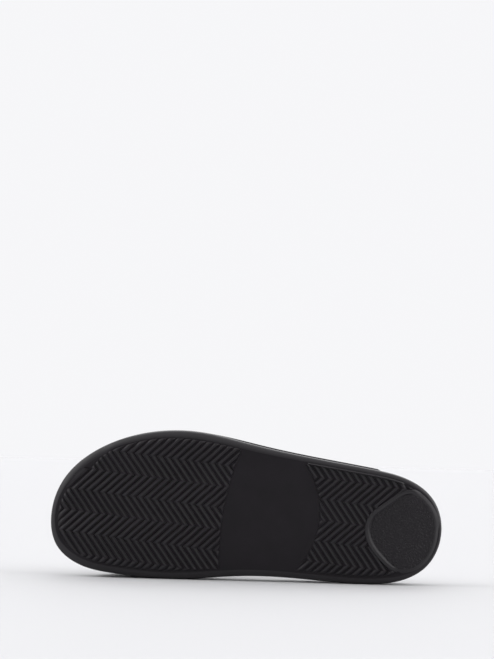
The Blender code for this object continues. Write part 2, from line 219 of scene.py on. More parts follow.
@dataclass
class Surface:
    """Points in shoe axes, the faces between them and, where some differ, which take a second finish."""

    points: Array
    faces: list[Array]
    second: Array | None = None

    @classmethod
    def closed(cls, grid: Array, endless: bool = False) -> "Surface":
        """Skins a row of sections, each a closed line, with the faces outwards.

        Args:
            grid: Sections by points by three coordinates.
            endless: Whether the last section meets the first. If not, both are closed from side to side.

        Returns:
            The closed surface.
        """
        rows, columns = grid.shape[:2]
        index = np.arange(rows * columns).reshape(rows, columns)
        skin = np.concatenate([index, index[:, :1]], axis=1)
        skin = np.concatenate([skin, skin[:1]]) if endless else skin
        quads = np.stack([skin[:-1, :-1], skin[:-1, 1:], skin[1:, 1:], skin[1:, :-1]], axis=-1)
        faces = [quads.reshape(-1, 4)]
        if not endless:
            faces += [ladder(index[0])[:, ::-1], ladder(index[-1])]
        return cls(grid.reshape(-1, 3), faces).outward()

    @classmethod
    def join(cls, surfaces: list["Surface"]) -> "Surface":
        """Lays several surfaces side by side in one mesh.

        Args:
            surfaces: The surfaces, in order.

        Returns:
            One surface with all their points and faces.
        """
        starts = np.cumsum([0] + [len(part.points) for part in surfaces])
        faces = [face + start for part, start in zip(surfaces, starts) for face in part.faces]
        return cls(np.concatenate([part.points for part in surfaces]), faces)

    def outward(self) -> "Surface":
        """Turns the faces of a closed surface to the outside, by the sign of the volume they enclose.

        Returns:
            The same surface.
        """
        volume = 0.0
        for face in self.faces:
            corner = self.points[face]
            volume += np.einsum("ij,ij->", corner[:, 0], np.cross(corner[:, 1], corner[:, 2]))
            volume += np.einsum("ij,ij->", corner[:, 0], np.cross(corner[:, 2], corner[:, -1]))
        if volume < 0.0:
            self.faces = [face[:, ::-1] for face in self.faces]
        return self


@dataclass(frozen=True)
class Placement:
    """Where the shoe axes lie in the world."""

    axes: Array
    origin: Array

    @classmethod
    def from_record(cls, record: dict) -> "Placement":
        """Reads the placement from the flat arch face, whose place in shoe axes is known.

        The face looks straight down from the foot; the length axis is the horizontal direction square
        to it, and the inner side is up crossed with that.

        Args:
            record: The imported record.

        Returns:
            The placement.
        """
        mount = next(item for item in record["mounts"] if item["name"] == ARCH_MOUNT)
        up = -np.array(mount["axis"], float)
        up /= np.linalg.norm(up)
        along = np.array([up[2], 0.0, -up[0]])
        along *= math.copysign(1.0, along[0]) / np.linalg.norm(along)
        axes = np.stack([along, np.cross(up, along), up], axis=1)
        return cls(axes, np.array(mount["pos_m"], float) - axes @ (np.array(ARCH_PLACE) * MM))

    def world(self, points: Array) -> Array:
        """Moves points from shoe axes in millimetres to the world in metres."""
        return points * MM @ self.axes.T + self.origin


@dataclass
class Bench:
    """Puts surfaces into the world as pieces that ride on the sandal's one body."""

    placement: Placement
    crisp_angle: float = math.radians(32.0)

    def piece(
        self,
        name: str,
        surface: Surface,
        material: Material,
        solid: Solid | None = None,
        second: Material | None = None,
    ) -> None:
        """Makes one piece of the sandal.

        Args:
            name: The piece's name.
            surface: Its shape in shoe axes.
            material: Its finish.
            solid: The solid it stands for, if any.
            second: The finish of the faces that the surface sets apart, if any.
        """
        mesh = bpy.data.meshes.new(name)
        faces = [row for face in surface.faces for row in face.tolist()]
        mesh.from_pydata(self.placement.world(surface.points).tolist(), [], faces)
        mesh.shade_smooth()
        mesh.set_sharp_from_angle(angle=self.crisp_angle)
        mesh.materials.append(material)
        if second is not None:
            mesh.materials.append(second)
            mesh.polygons.foreach_set("material_index", surface.second.astype(np.int32))
        item = bpy.data.objects.new(name, mesh)
        bpy.context.scene.collection.objects.link(item)
        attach(item, BODY)
        if solid is not None:
            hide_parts(solid.value)
        triangles = sum(len(face) * (face.shape[1] - 2) for face in surface.faces)
        LOG.info("%s: %d triangles", name, triangles)


@dataclass
class Nodes:
    """Short calls that build one node tree."""

    tree: bpy.types.NodeTree

    def node(self, kind: str, inputs: dict, **settings: object) -> bpy.types.Node:
        """Adds a node.

        Args:
            kind: The node's type name.
            inputs: Socket name to a value, or to the socket that feeds it.
            **settings: Properties of the node itself.

        Returns:
            The new node.
        """
        made = self.tree.nodes.new(kind)
        for key, value in settings.items():
            setattr(made, key, value)
        self.feed(made, inputs)
        return made

    def feed(self, target: bpy.types.Node, inputs: dict) -> None:
        """Sets or links a node's inputs.

        Args:
            target: The node.
            inputs: Socket name or number to a value, or to the socket that feeds it.
        """
        for key, value in inputs.items():
            if isinstance(value, bpy.types.NodeSocket):
                self.tree.links.new(value, target.inputs[key])
            else:
                target.inputs[key].default_value = value

    def blend(self, share: Socket, low: Quad, high: Quad) -> Socket:
        """A colour between two, by a share.

        Args:
            share: 0 gives the low colour, 1 the high one.
            low: The first colour.
            high: The second colour.

        Returns:
            The mixed colour.
        """
        made = self.node("ShaderNodeMix", {}, data_type="RGBA")
        self.feed(made, dict(zip(MIX_INPUTS, (share, low, high))))
        return made.outputs[MIX_OUTPUT]


class Board(Nodes):
    """The node tree of one material, on Object coordinates."""

    noise_falloff: float = 0.55

    def __init__(self, name: str) -> None:
        """Starts a material with its Principled shader and Object coordinates.

        Args:
            name: The material's name.
        """
        self.material = bpy.data.materials.new(name)
        self.material.use_nodes = True
        super().__init__(self.material.node_tree)
        self.shader = self.tree.nodes["Principled BSDF"]
        self.place = self.node("ShaderNodeTexCoord", {}).outputs["Object"]

    def noise(self, scale: float, detail: float, stretch: Triple = (1.0, 1.0, 1.0)) -> Socket:
        """Soft noise.

        Args:
            scale: Cells to the metre.
            detail: How many finer layers are added.
            stretch: How much closer the cells lie along each axis.

        Returns:
            The noise's value.
        """
        place = self.node("ShaderNodeMapping", {"Vector": self.place, "Scale": stretch}).outputs["Vector"]
        inputs = {"Vector": place, "Scale": scale, "Detail": detail, "Roughness": self.noise_falloff}
        return self.node("ShaderNodeTexNoise", inputs).outputs["Fac"]

    def cells(self, scale: float, smoothness: float) -> Socket:
        """Distance to the nearest of many scattered points, which gives a pattern of rounded cells.

        Args:
            scale: Cells to the metre.
            smoothness: How softly neighbouring cells run together.

        Returns:
            The distance's value.
        """
        inputs = {"Vector": self.place, "Scale": scale, "Smoothness": smoothness}
        return self.node("ShaderNodeTexVoronoi", inputs, feature="SMOOTH_F1").outputs["Distance"]

    def ranged(self, value: Socket, target: Pair = (0.0, 1.0), source: Pair = (0.3, 0.7)) -> Socket:
        """Spreads a value over a range of its own.

        Args:
            value: What is spread.
            target: The results where the source range starts and ends.
            source: The part of the value's range that is used.

        Returns:
            The spread value.
        """
        inputs = {"Value": value, "From Min": source[0], "From Max": source[1]}
        inputs |= {"To Min": target[0], "To Max": target[1]}
        return self.node("ShaderNodeMapRange", inputs, clamp=True).outputs["Result"]

    def bump(self, layers: list[tuple[Socket, float]]) -> Socket:
        """Stacks bump layers.

        Args:
            layers: Height sockets with their depth in millimetres.

        Returns:
            The shading normal.
        """
        normal = None
        for height, depth in layers:
            inputs = {"Height": height, "Strength": 1.0, "Distance": depth * MM}
            if normal is not None:
                inputs["Normal"] = normal
            normal = self.node("ShaderNodeBump", inputs).outputs["Normal"]
        return normal

    def dress(self, inputs: dict) -> Material:
        """Sets the shader's own sockets and gives the finished material."""
        self.feed(self.shader, inputs)
        return self.material


@dataclass(frozen=True)
class MouldedRubber:
    """Black foam rubber from a mould: matt, with a fine grain and a faint cloudiness.

    Cloud and grain are cells to the metre and finer layers, pebbles cells to the metre and smoothness.
    """

    name: str
    dark: Quad = (0.0062, 0.0046, 0.0068, 1.0)
    light: Quad = (0.0090, 0.0068, 0.0098, 1.0)
    roughness: Pair = (0.36, 0.44)
    specular: float = 0.43
    cloud: Pair = (55.0, 4.0)
    grain: Pair = (1500.0, 2.0)
    grain_depth: float = 0.012
    pebbles: Pair | None = None
    pebble_depth: float = 0.8

    def build(self) -> Material:
        """Mixes two near blacks by a cloud, and bumps the surface with grain and, if asked, pebbles.

        Returns:
            The material.
        """
        board = Board(self.name)
        cloud = board.noise(*self.cloud)
        grain = board.noise(*self.grain)
        layers = [(grain, self.grain_depth)]
        if self.pebbles is not None:
            layers.append((board.cells(*self.pebbles), self.pebble_depth))
        return board.dress({
            "Base Color": board.blend(board.ranged(cloud), self.dark, self.light),
            "Roughness": board.ranged(grain, self.roughness),
            "Specular IOR Level": self.specular,
            "Normal": board.bump(layers),
        })


@dataclass(frozen=True)
class BrushedCover:
    """Black brushed cover of the footbed: a short nap that is a little lighter where it is rubbed.

    Nap and rub are cells to the metre and finer layers.
    """

    name: str
    dark: Quad = (0.012, 0.0115, 0.012, 1.0)
    light: Quad = (0.026, 0.025, 0.026, 1.0)
    nap: Pair = (1300.0, 3.0)
    nap_stretch: Triple = (0.35, 1.0, 1.0)
    nap_depth: float = 0.05
    rub: Pair = (28.0, 5.0)
    roughness: Pair = (0.82, 0.95)
    specular: float = 0.2
    sheen: float = 0.25
    sheen_roughness: float = 0.5

    def build(self) -> Material:
        """Stretches a fine noise along the foot for the nap, and clouds the colour with a broad one.

        Returns:
            The material.
        """
        board = Board(self.name)
        nap = board.noise(*self.nap, self.nap_stretch)
        rub = board.noise(*self.rub)
        return board.dress({
            "Base Color": board.blend(board.ranged(rub), self.dark, self.light),
            "Roughness": board.ranged(nap, self.roughness),
            "Specular IOR Level": self.specular,
            "Sheen Weight": self.sheen,
            "Sheen Roughness": self.sheen_roughness,
            "Normal": board.bump([(nap, self.nap_depth)]),
        })


@dataclass(frozen=True)
class CoatedStrap:
    """Black coated material of the strap: a fine leathery grain under a thin satin coat.

    Grain is cells to the metre and smoothness, fine and cloud are cells to the metre and finer layers.
    """

    name: str
    dark: Quad = (0.0085, 0.0080, 0.0090, 1.0)
    light: Quad = (0.0135, 0.0125, 0.0140, 1.0)
    grain: Pair = (700.0, 0.6)
    grain_depth: float = 0.06
    fine: Pair = (2600.0, 2.0)
    fine_depth: float = 0.01
    cloud: Pair = (40.0, 4.0)
    roughness: Pair = (0.42, 0.56)
    specular: float = 0.45
    coat: float = 0.12
    coat_roughness: float = 0.35

    def build(self) -> Material:
        """Bumps the base with rounded cells and a finer noise over them, and leaves the coat smooth.

        Returns:
            The material.
        """
        board = Board(self.name)
        cells = board.cells(*self.grain)
        fine = board.noise(*self.fine)
        cloud = board.noise(*self.cloud)
        return board.dress({
            "Base Color": board.blend(board.ranged(cloud), self.dark, self.light),
            "Roughness": board.ranged(fine, self.roughness),
            "Specular IOR Level": self.specular,
            "Coat Weight": self.coat,
            "Coat Roughness": self.coat_roughness,
            "Normal": board.bump([(cells, self.grain_depth), (fine, self.fine_depth)]),
        })


@dataclass(frozen=True)
class LiningCloth:
    """Dark knitted lining on the inside of the strap, with painted shade between its loops; its knit is
    cells to the metre and smoothness.
    """

    name: str
    dark: Quad = (0.010, 0.010, 0.011, 1.0)
    light: Quad = (0.030, 0.029, 0.031, 1.0)
    knit: Pair = (620.0, 0.2)
    # part of the cell distance that runs from light to dark: painted shade between the loops
    loop_shade_range: Pair = (0.1, 0.7)
    knit_depth: float = 0.12
    roughness: float = 0.9
    specular: float = 0.2
    sheen: float = 0.15

    def build(self) -> Material:
        """Paints shade into the colour: many small cells stand for the loops, lighter at their middles and
        darker between them, and bump them.

        Returns:
            The material.
        """
        board = Board(self.name)
        loops = board.cells(*self.knit)
        return board.dress({
            # painted shade: the loops' colour is lighter at their middles and darker in the gaps between
            # them
            "Base Color": board.blend(board.ranged(loops, source=self.loop_shade_range), self.light, self.dark),
            "Roughness": self.roughness,
            "Specular IOR Level": self.specular,
            "Sheen Weight": self.sheen,
            "Normal": board.bump([(loops, self.knit_depth)]),
        })


@dataclass(frozen=True)
class SewingThread:
    """Black twisted thread with a slight shine; its twist is cells to the metre and finer layers."""

    name: str
    dark: Quad = (0.012, 0.012, 0.013, 1.0)
    light: Quad = (0.035, 0.034, 0.036, 1.0)
    twist: Pair = (2400.0, 1.0)
    twist_depth: float = 0.05
    roughness: float = 0.5
    specular: float = 0.4

    def build(self) -> Material:
        """Varies the thread's black with a fine noise that also bumps it.

        Returns:
            The material.
        """
        board = Board(self.name)
        twist = board.noise(*self.twist)
        return board.dress({
            "Base Color": board.blend(board.ranged(twist), self.dark, self.light),
            "Roughness": self.roughness,
            "Specular IOR Level": self.specular,
            "Normal": board.bump([(twist, self.twist_depth)]),
        })


@dataclass
class Last:
    """The sizes and curves that sole, footbed and strap share, in millimetres."""

    landmarks: dict[str, Pair] = field(default_factory=lambda: {
        "toe tip": (0.0, 19.0),
        "toe, outer corner": (8.0, -9.4),
        "little toe": (28.0, -30.3),
        "outer forefoot": (60.0, -46.5),
        "outer ball": (100.0, -52.6),
        "outer waist, front": (135.0, -49.5),
        "outer waist": (175.0, -46.4),
        "outer heel": (225.0, -44.2),
        "outer heel corner": (250.0, -41.0),
        "heel, outer side": (270.2, -29.9),
        "heel tip": (280.0, -4.0),
        "heel, inner side": (271.3, 20.7),
        "inner heel corner": (256.2, 31.6),
        "inner heel": (226.0, 38.6),
        "inner waist": (180.0, 41.3),
        "inner waist, front": (139.0, 45.9),
        "inner ball": (95.0, 54.4),
        "inner forefoot": (52.0, 56.9),
        "big toe": (26.0, 54.3),
        "toe, inner corner": (7.5, 43.4),
    })
    curve_steps: int = 64
    forefoot_height: float = 22.0
    heel_height: float = 31.0
    rise: Pair = (90.0, 215.0)
    pocket_depth: float = 10.0
    toe_spring: float = 7.0
    spring_start: float = 75.0
    spine: Pair = (50.0, 236.0)
    map_length: Pair = (-30.0, 311.0)
    map_width: Pair = (-85.0, 86.0)
    map_step: float = 1.0
    map_end: float = 1.001
    map_block: int = 4000

    def __post_init__(self) -> None:
        """Works out the outline's two halves and the map of distances from it."""
        dense = closed_curve(np.array(list(self.landmarks.values())), self.curve_steps)
        heel = int(np.argmax(dense[:, 0]))
        self.halves = {
            Side.OUTER: dense[: heel + 1],
            Side.INNER: np.concatenate([dense[heel:], dense[:1]])[::-1],
        }
        self.columns = np.arange(*self.map_length, self.map_step)
        self.rows = np.arange(*self.map_width, self.map_step)
        spot = np.stack(np.meshgrid(self.columns, self.rows, indexing="ij"), axis=-1)
        self.distances = self.signed_distance(spot.reshape(-1, 2)).reshape(spot.shape[:2])

    def side_at(self, s: Array, side: Side) -> Array:
        """How far the outline reaches at the length s on one side."""
        half = self.halves[side]
        return np.interp(s, half[:, 0], half[:, 1])

    def middle_at(self, s: Array) -> Array:
        """Half way between the two sides at the length s."""
        return 0.5 * (self.side_at(s, Side.INNER) + self.side_at(s, Side.OUTER))

    def signed_distance(self, spots: Array) -> Array:
        """Distance from the outline to its nearest point, positive inside it.

        Args:
            spots: Points as rows of s and w.

        Returns:
            The distance of each point.
        """
        edge = np.concatenate([half[::2] for half in self.halves.values()])
        near = np.empty(len(spots))
        for start in range(0, len(spots), self.map_block):
            block = slice(start, start + self.map_block)
            near[block] = np.sqrt(((spots[block, None] - edge[None]) ** 2).sum(axis=-1).min(axis=1))
        s, w = spots.T
        inside = (w > self.side_at(s, Side.OUTER)) & (w < self.side_at(s, Side.INNER))
        inside &= (s > 0.0) & (s < edge[:, 0].max())
        return np.where(inside, near, -near)

    def clearance(self, s: Array, w: Array) -> Array:
        """Distance inside the outline, read between the four nearest spots of the distance map.

        A point off the map takes the value at the map's edge.

        Args:
            s: Lengths from the toe.
            w: Distances to the inner side, of the same shape.

        Returns:
            The distance at each point.
        """
        column = np.clip((s - self.columns[0]) / self.map_step, 0.0, len(self.columns) - self.map_end)
        row = np.clip((w - self.rows[0]) / self.map_step, 0.0, len(self.rows) - self.map_end)
        i, j = column.astype(int), row.astype(int)
        a, b = column - i, row - j
        near = self.distances[i, j] * (1 - b) + self.distances[i, j + 1] * b
        far = self.distances[i + 1, j] * (1 - b) + self.distances[i + 1, j + 1] * b
        return near * (1 - a) + far * a

    def drawn_in(self, s: Array, w: Array, keep: float) -> tuple[Array, Array]:
        """Moves points that lie too near the outline, or outside it, straight inwards.

        The way inwards is the slope of the distance map, from differences over a millimetre.

        Args:
            s: Lengths from the toe.
            w: Distances to the inner side.
            keep: How far inside the outline every point ends up.

        Returns:
            s and w of the moved points.
        """
        half, least = 0.5, 1e-6
        short = np.maximum(keep - self.clearance(s, w), 0.0)
        slope_s = self.clearance(s + half, w) - self.clearance(s - half, w)
        slope_w = self.clearance(s, w + half) - self.clearance(s, w - half)
        size = np.maximum(np.hypot(slope_s, slope_w), least)
        return s + short * slope_s / size, w + short * slope_w / size

    def edge(self, half_count: int) -> tuple[Array, Array, Array]:
        """Even points around the outline: down the outer side to the heel and back up the inner side.

        Args:
            half_count: Points on each side.

        Returns:
            The points, their inward normals, and whether each is on the outer side.
        """
        outer = even_points(self.halves[Side.OUTER], half_count)
        inner = even_points(self.halves[Side.INNER][::-1], half_count)
        points = np.concatenate([outer, inner])
        return points, square_to(points), np.arange(2 * half_count) < half_count

    def wall_top(self, s: Array) -> Array:
        """Height of the rim before the toe is lifted: a smooth step from forefoot to heel."""
        return self.forefoot_height + (self.heel_height - self.forefoot_height) * smoothstep(s, *self.rise)

    def lifted(self, grid: Array) -> Array:
        """Raises points by the toe spring, which grows with the square of the way in front of its start.

        Args:
            grid: Points in shoe axes.

        Returns:
            The raised points.
        """
        share = np.clip((self.spring_start - grid[..., 0]) / self.spring_start, 0.0, None)
        raised = grid.copy()
        raised[..., 2] += self.toe_spring * share * share
        return raised

    def towards_spine(self, ring: Array, shares: Array) -> Array:
        """Rings that shrink from a closed ring to the foot's spine.

        Args:
            ring: Rows of s and w around the foot.
            shares: 1 keeps the ring, 0 puts it on the spine.

        Returns:
            One ring for each share.
        """
        s = np.clip(ring[:, 0], *self.spine)
        middle = np.stack([s, self.middle_at(s)], axis=1)
        return middle[None] + shares[:, None, None] * (ring - middle)[None]


@dataclass(frozen=True)
class TreadZone:
    """One field of zigzag ridges: where its ridges start and end, and where its rows lie."""

    first: float
    last: float
    apex: float
    period: float
    middle: float
    lean: float
    skew: float
    half_width: float
    spacing: float = 5.36
    slope: float = math.tan(math.radians(41.6))

    def starts(self) -> Array:
        """Where each ridge crosses the rows that point to the toe."""
        return np.arange(self.first, self.last, self.spacing)

    def ridge_line(self, start: float, v: Array) -> tuple[Array, Array]:
        """The middle line of a ridge: s falls back from each toe-pointing row by slope times the distance.

        The skew moves s with the place across the foot, and the lean moves the rows with s.

        Args:
            start: Where the ridge crosses the toe-pointing rows.
            v: Places across the foot, before the rows' lean.

        Returns:
            s and w along the ridge.
        """
        away = np.abs((v - self.apex + 0.5 * self.period) % self.period - 0.5 * self.period)
        s = start + self.slope * away + self.skew * (v - self.apex)
        return s, v + self.lean * (s - self.middle)

    def carried(self, start: float, v: Array, offset: Array) -> tuple[Array, Array]:
        """s and w of offsets along s that are carried over a ridge's line, a row for each place in v."""
        s, w = self.ridge_line(start, v)
        return s[:, None] + offset[None], np.repeat(w[:, None], len(offset), 1)

    def corners(self, low: float, high: float) -> Array:
        """Places across the foot where the zigzag turns: the toe-pointing rows and half way between them.

        Args:
            low: Where to begin.
            high: Where to end.

        Returns:
            The places between the two.
        """
        step = 0.5 * self.period
        first = math.ceil((low - self.apex) / step)
        last = math.floor((high - self.apex) / step)
        return self.apex + step * np.arange(first, last + 1)


@dataclass
class HeelDisc:
    """The pebbled field under the heel and the ring round it.

    Profiles are rows of the way outwards from the disc's edge and the height. Flush and wide are bearings
    from the disc's middle, in degrees: where each starts, is full, begins to end and ends.
    """

    landmarks: dict[str, Pair] = field(default_factory=lambda: {
        "front": (228.0, -3.0),
        "inner front": (231.9, 7.9),
        "inner side": (240.4, 16.3),
        "inner corner": (251.3, 22.8),
        "inner rear": (261.5, 22.0),
        "rear, inner": (270.4, 14.2),
        "rear": (275.2, -2.0),
        "rear, outer": (272.3, -17.8),
        "outer rear": (263.8, -27.5),
        "outer corner": (254.5, -31.3),
        "outer side": (246.0, -26.8),
        "outer front": (237.0, -18.5),
        "front, outer": (230.2, -11.0),
    })
    curve_steps: int = 32
    centre: Pair = (252.0, -4.0)
    width: float = 3.6
    overlap: float = 1.0
    bevel: Pair = (251.0, 261.0)
    front_profile: tuple[Pair, ...] = (
        (-1.0, 2.05), (-0.75, 1.66), (-0.45, 1.42), (0.0, 0.95), (0.45, 0.46), (0.75, 0.2), (1.1, 0.1),
        (1.7, 0.1), (2.4, 0.1), (2.8, 0.2), (3.1, 0.5), (3.35, 1.1), (3.6, 2.05),
    )
    rear_profile: tuple[Pair, ...] = (
        (-1.0, 2.05), (-0.9, 1.1), (-0.8, 0.55), (-0.6, 0.38), (-0.3, 0.35), (0.0, 0.35), (0.25, 0.4),
        (0.5, 0.54), (0.9, 0.83), (1.3, 1.14), (1.7, 1.45), (2.1, 1.76), (2.5, 2.1),
    )
    flush: Quad = (45.0, 72.0, 86.0, 100.0)
    wide: Quad = (-92.0, -70.0, -25.0, -5.0)
    widening: float = 0.4
    face_height: float = 1.7
    foot_height: float = 1.85
    face_drop: float = 1.3
    face_slope: Pair = (238.0, 264.0)
    plate_tuck: float = 0.4
    plate_depth: float = 0.6
    plate_rings: tuple[float, float, int] = (1.0, 0.04, 16)

    def line(self) -> tuple[Array, Array]:
        """The disc's edge as points in order, and their unit directions away from the disc."""
        points = closed_curve(np.array(list(self.landmarks.values())), self.curve_steps)
        return points, square_to(points)

    def beyond(self, s: Array, w: Array) -> Array:
        """How far a point lies outside the disc's edge, along the bearing from its middle.

        Args:
            s: Lengths from the toe.
            w: Distances to the inner side.

        Returns:
            The distance of each point, negative inside.
        """
        edge = self.line()[0] - np.array(self.centre)
        bearing = np.arctan2(edge[:, 1], edge[:, 0])
        away_s, away_w = s - self.centre[0], w - self.centre[1]
        reach = np.interp(np.arctan2(away_w, away_s), bearing, np.hypot(*edge.T), period=2.0 * math.pi)
        return np.hypot(away_s, away_w) - reach

    def face(self, s: Array) -> Array:
        """Height of the disc's face, which comes down towards the heel by a smooth step of s."""
        return self.face_height - self.face_drop * smoothstep(s, *self.face_slope)

    def sector(self, points: Array, bearings: Quad) -> Array:
        """How much points lie in a sector round the disc's middle: a smooth step in and one out.

        Args:
            points: Rows of s and w.
            bearings: Where the sector starts, is full, begins to end and ends, in degrees.

        Returns:
            0 outside the sector to 1 inside it, as one column.
        """
        away = points - np.array(self.centre)
        bearing = np.degrees(np.arctan2(away[:, 1], away[:, 0]))
        return (smoothstep(bearing, *bearings[:2]) * (1.0 - smoothstep(bearing, *bearings[2:])))[:, None]

    def ring(self) -> Surface:
        """The raised ring: a section carried round the disc.

        In front it is a flat bar with a sloping inner flank. Towards the heel it turns into a low bead
        that leans outwards with the sole's edge, and its height is the blend of both by a smooth step of
        s. Over a sector on the inner side it falls gently from the disc to the sole, and over one on the
        outer rear its outer slope is wider.

        Returns:
            The closed surface.
        """
        points, outward = self.line()
        front, rear = np.array(self.front_profile), np.array(self.rear_profile)
        share = smoothstep(points[:, 0], *self.bevel)[:, None]
        offset = front[None, :, 0] * (1 - share) + rear[None, :, 0] * share
        height = front[None, :, 1] * (1 - share) + rear[None, :, 1] * share
        wider = 1.0 + self.widening * self.sector(points, self.wide)
        offset = offset * np.where(offset > 0.0, wider, 1.0)
        face = self.face(points[:, 0])[:, None]
        ramp = face + (self.foot_height - face) * smoothstep(offset, front[1, 0], front[-1, 0])
        height = height + self.sector(points, self.flush) * (np.maximum(height, ramp) - height)
        flat = points[:, None] + outward[:, None] * offset[..., None]
        return Surface.closed(at_height(flat, height), endless=True)

    def plate(self) -> Surface:
        """The disc itself: a thin plate whose edge goes under the ring, as rings that shrink to its middle.

        Returns:
            The closed surface.
        """
        centre = np.array(self.centre)
        points, outward = self.line()
        rim = points - self.plate_tuck * outward - centre
        flat = centre + np.linspace(*self.plate_rings)[:, None, None] * rim[None]
        face = at_height(flat, self.face(flat[..., 0]))
        back = face[[-1, 0]]
        back[..., 2] = self.face_height + self.plate_depth
        return Surface.closed(np.concatenate([back, face]))


@dataclass
class Sole:
    """Sole unit: cup with its band and rim, herringbone ridges, heel ring, border and disc.

    Margins are rows of the length from the toe and how far the tread stays inside the outline there. The
    ridges' run-out is that of the outer side, the inner side and the toe.
    """

    last: Last
    base: float = 1.8
    edge_round: Pair = (2.6, 5.0)
    edge_gap: float = 0.3
    edge_softness: Pair = (1.7, 2.6)
    firm_facing: Pair = (-0.2, 0.8)
    toe_softness: float = 1.3
    toe_rise: float = 1.7
    rim_lift: float = 0.8
    rim_lift_fade: Pair = (25.0, 60.0)
    rim_slope: tuple[float, ...] = (3.2, 2.4, 1.7, 1.1, 0.6, 0.25)
    run_out: Triple = (0.7, 1.8, 1.6)
    run_out_toe: Pair = (15.0, 50.0)
    wall_draft: float = 1.6
    lip_radius: float = 2.2
    rim_width: float = 6.2
    slot_wall: float = 2.7
    band_proud: float = 0.9
    band_low: float = 9.0
    band_edge: float = 0.8
    band_fade_in: Pair = (96.0, 140.0)
    band_fade_out: Pair = (228.0, 231.5)
    parting_height: float = 7.8
    parting_proud: float = 0.12
    parting_bead: tuple[Pair, ...] = ((-0.35, 0.0), (-0.15, 0.8), (0.0, 1.0), (0.15, 0.8), (0.35, 0.0))
    margins: dict[Side, tuple[Pair, ...]] = field(default_factory=lambda: {
        Side.OUTER: (
            (0, 3.4), (8, 5.0), (13, 7.6), (18, 8.5), (24, 8.2), (30, 5.2), (36, 4.2), (50, 4.8), (75, 5.1),
            (100, 5.7), (125, 5.0), (180, 3.8), (262, 3.1), (280, 2.2),
        ),
        Side.INNER: (
            (0, 3.4), (10, 5.2), (25, 5.4), (45, 5.5), (80, 5.8), (125, 5.5), (185, 4.8), (245, 4.8),
            (262, 3.8), (280, 2.2),
        ),
    })
    ridge_sink: float = 0.25
    ridge_keep: float = 1.2
    ridge_dive: float = 1.6
    ridge_deepest: float = 4.0
    ridge_squareness: float = 1.9
    ridge_fade: Pair = (-0.1, 1.0)
    ridge_shortest: float = 1.5
    ridge_overrun: float = 0.3
    ridge_step: float = 0.6
    ridge_fewest: int = 8
    scan_reach: float = 80.0
    scan_step: float = 0.25
    shelf_ridge: int = 5
    shelf_reach: float = 16.0
    shelf_top: float = 0.1
    shelf_room: float = 2.6
    shelf_edge: Pair = (4.6, 1.15)
    shelf_keep: float = 4.2
    shelf_under: float = 3.2
    shelf_steps: tuple[int, int] = (40, 14)
    arch_front: Triple = (339.0, 7.5, 215.9)
    arch_back: Triple = (131.5, -0.8, 60.0)
    disc: HeelDisc = field(default_factory=HeelDisc)
    border_width: float = 1.5
    border_drop: float = 0.2
    border_span: Pair = (177.0, 250.0)
    border_fade: float = 2.0
    half_count: int = 420
    round_steps: int = 9
    wall_steps: int = 10
    band_steps: int = 6
    bead_steps: int = 12
    bottom_rings: tuple[float, float, int] = (0.04, 0.97, 14)
    pocket_rings: Pair = (0.6, 0.05)
    forefoot: TreadZone = TreadZone(-18.6, 130.0, -0.52, 30.7, 80.0, -0.0175, 0.021, 2.2)
    heel: TreadZone = TreadZone(154.85, 262.0, 11.75, 30.0, 212.0, -0.014, -0.01, 2.15)
    slots: dict[Side, Pair] = field(default_factory=lambda: {
        Side.INNER: (35.7, 118.3),
        Side.OUTER: (61.7, 146.3),
    })

    @property
    def foot(self) -> float:
        """Height of a ridge's foot, which lies a little under the sole's skin."""
        return self.base + self.ridge_sink

    def band(self, s: Array, outer: Array) -> Array:
        """How far the outer side wall's band stands out: a smooth step in and a short step out."""
        stands = smoothstep(s, *self.band_fade_in) * (1.0 - smoothstep(s, *self.band_fade_out))
        return self.band_proud * stands * outer

    def rim(self, s: Array, outer: Array) -> Array:
        """Width of the rim, which is cut back where the strap's ends go in.

        Args:
            s: Lengths from the toe.
            outer: Whether each point is on the outer side.

        Returns:
            The width at each point.
        """
        in_slot = np.zeros_like(outer)
        for side, (start, stop) in self.slots.items():
            in_slot |= (outer == (side is Side.OUTER)) & (s > start) & (s < stop)
        return np.where(in_slot, self.slot_wall, self.rim_width)

    def margin(self, s: Array, outer: Array) -> Array:
        """How far the tread stays inside the outline, read between the places of each side's table."""
        tables = {side: np.array(table, float).T for side, table in self.margins.items()}
        return np.where(outer, np.interp(s, *tables[Side.OUTER]), np.interp(s, *tables[Side.INNER]))

    def bead(self, half_width: float, drop: float) -> Array:
        """A raised section as offsets from its middle and heights: the upper half of a superellipse.

        Args:
            half_width: Half its width at the foot, which lies under the sole's skin.
            drop: Height of its top above the ground.

        Returns:
            Rows of offset and height.
        """
        turn = np.linspace(math.pi, 0.0, self.bead_steps)
        power = 2.0 / self.ridge_squareness
        offset = half_width * np.sign(np.cos(turn)) * np.abs(np.cos(turn)) ** power
        height = self.foot - (self.foot - drop) * np.abs(np.sin(turn)) ** power
        return np.stack([offset, height], axis=1)

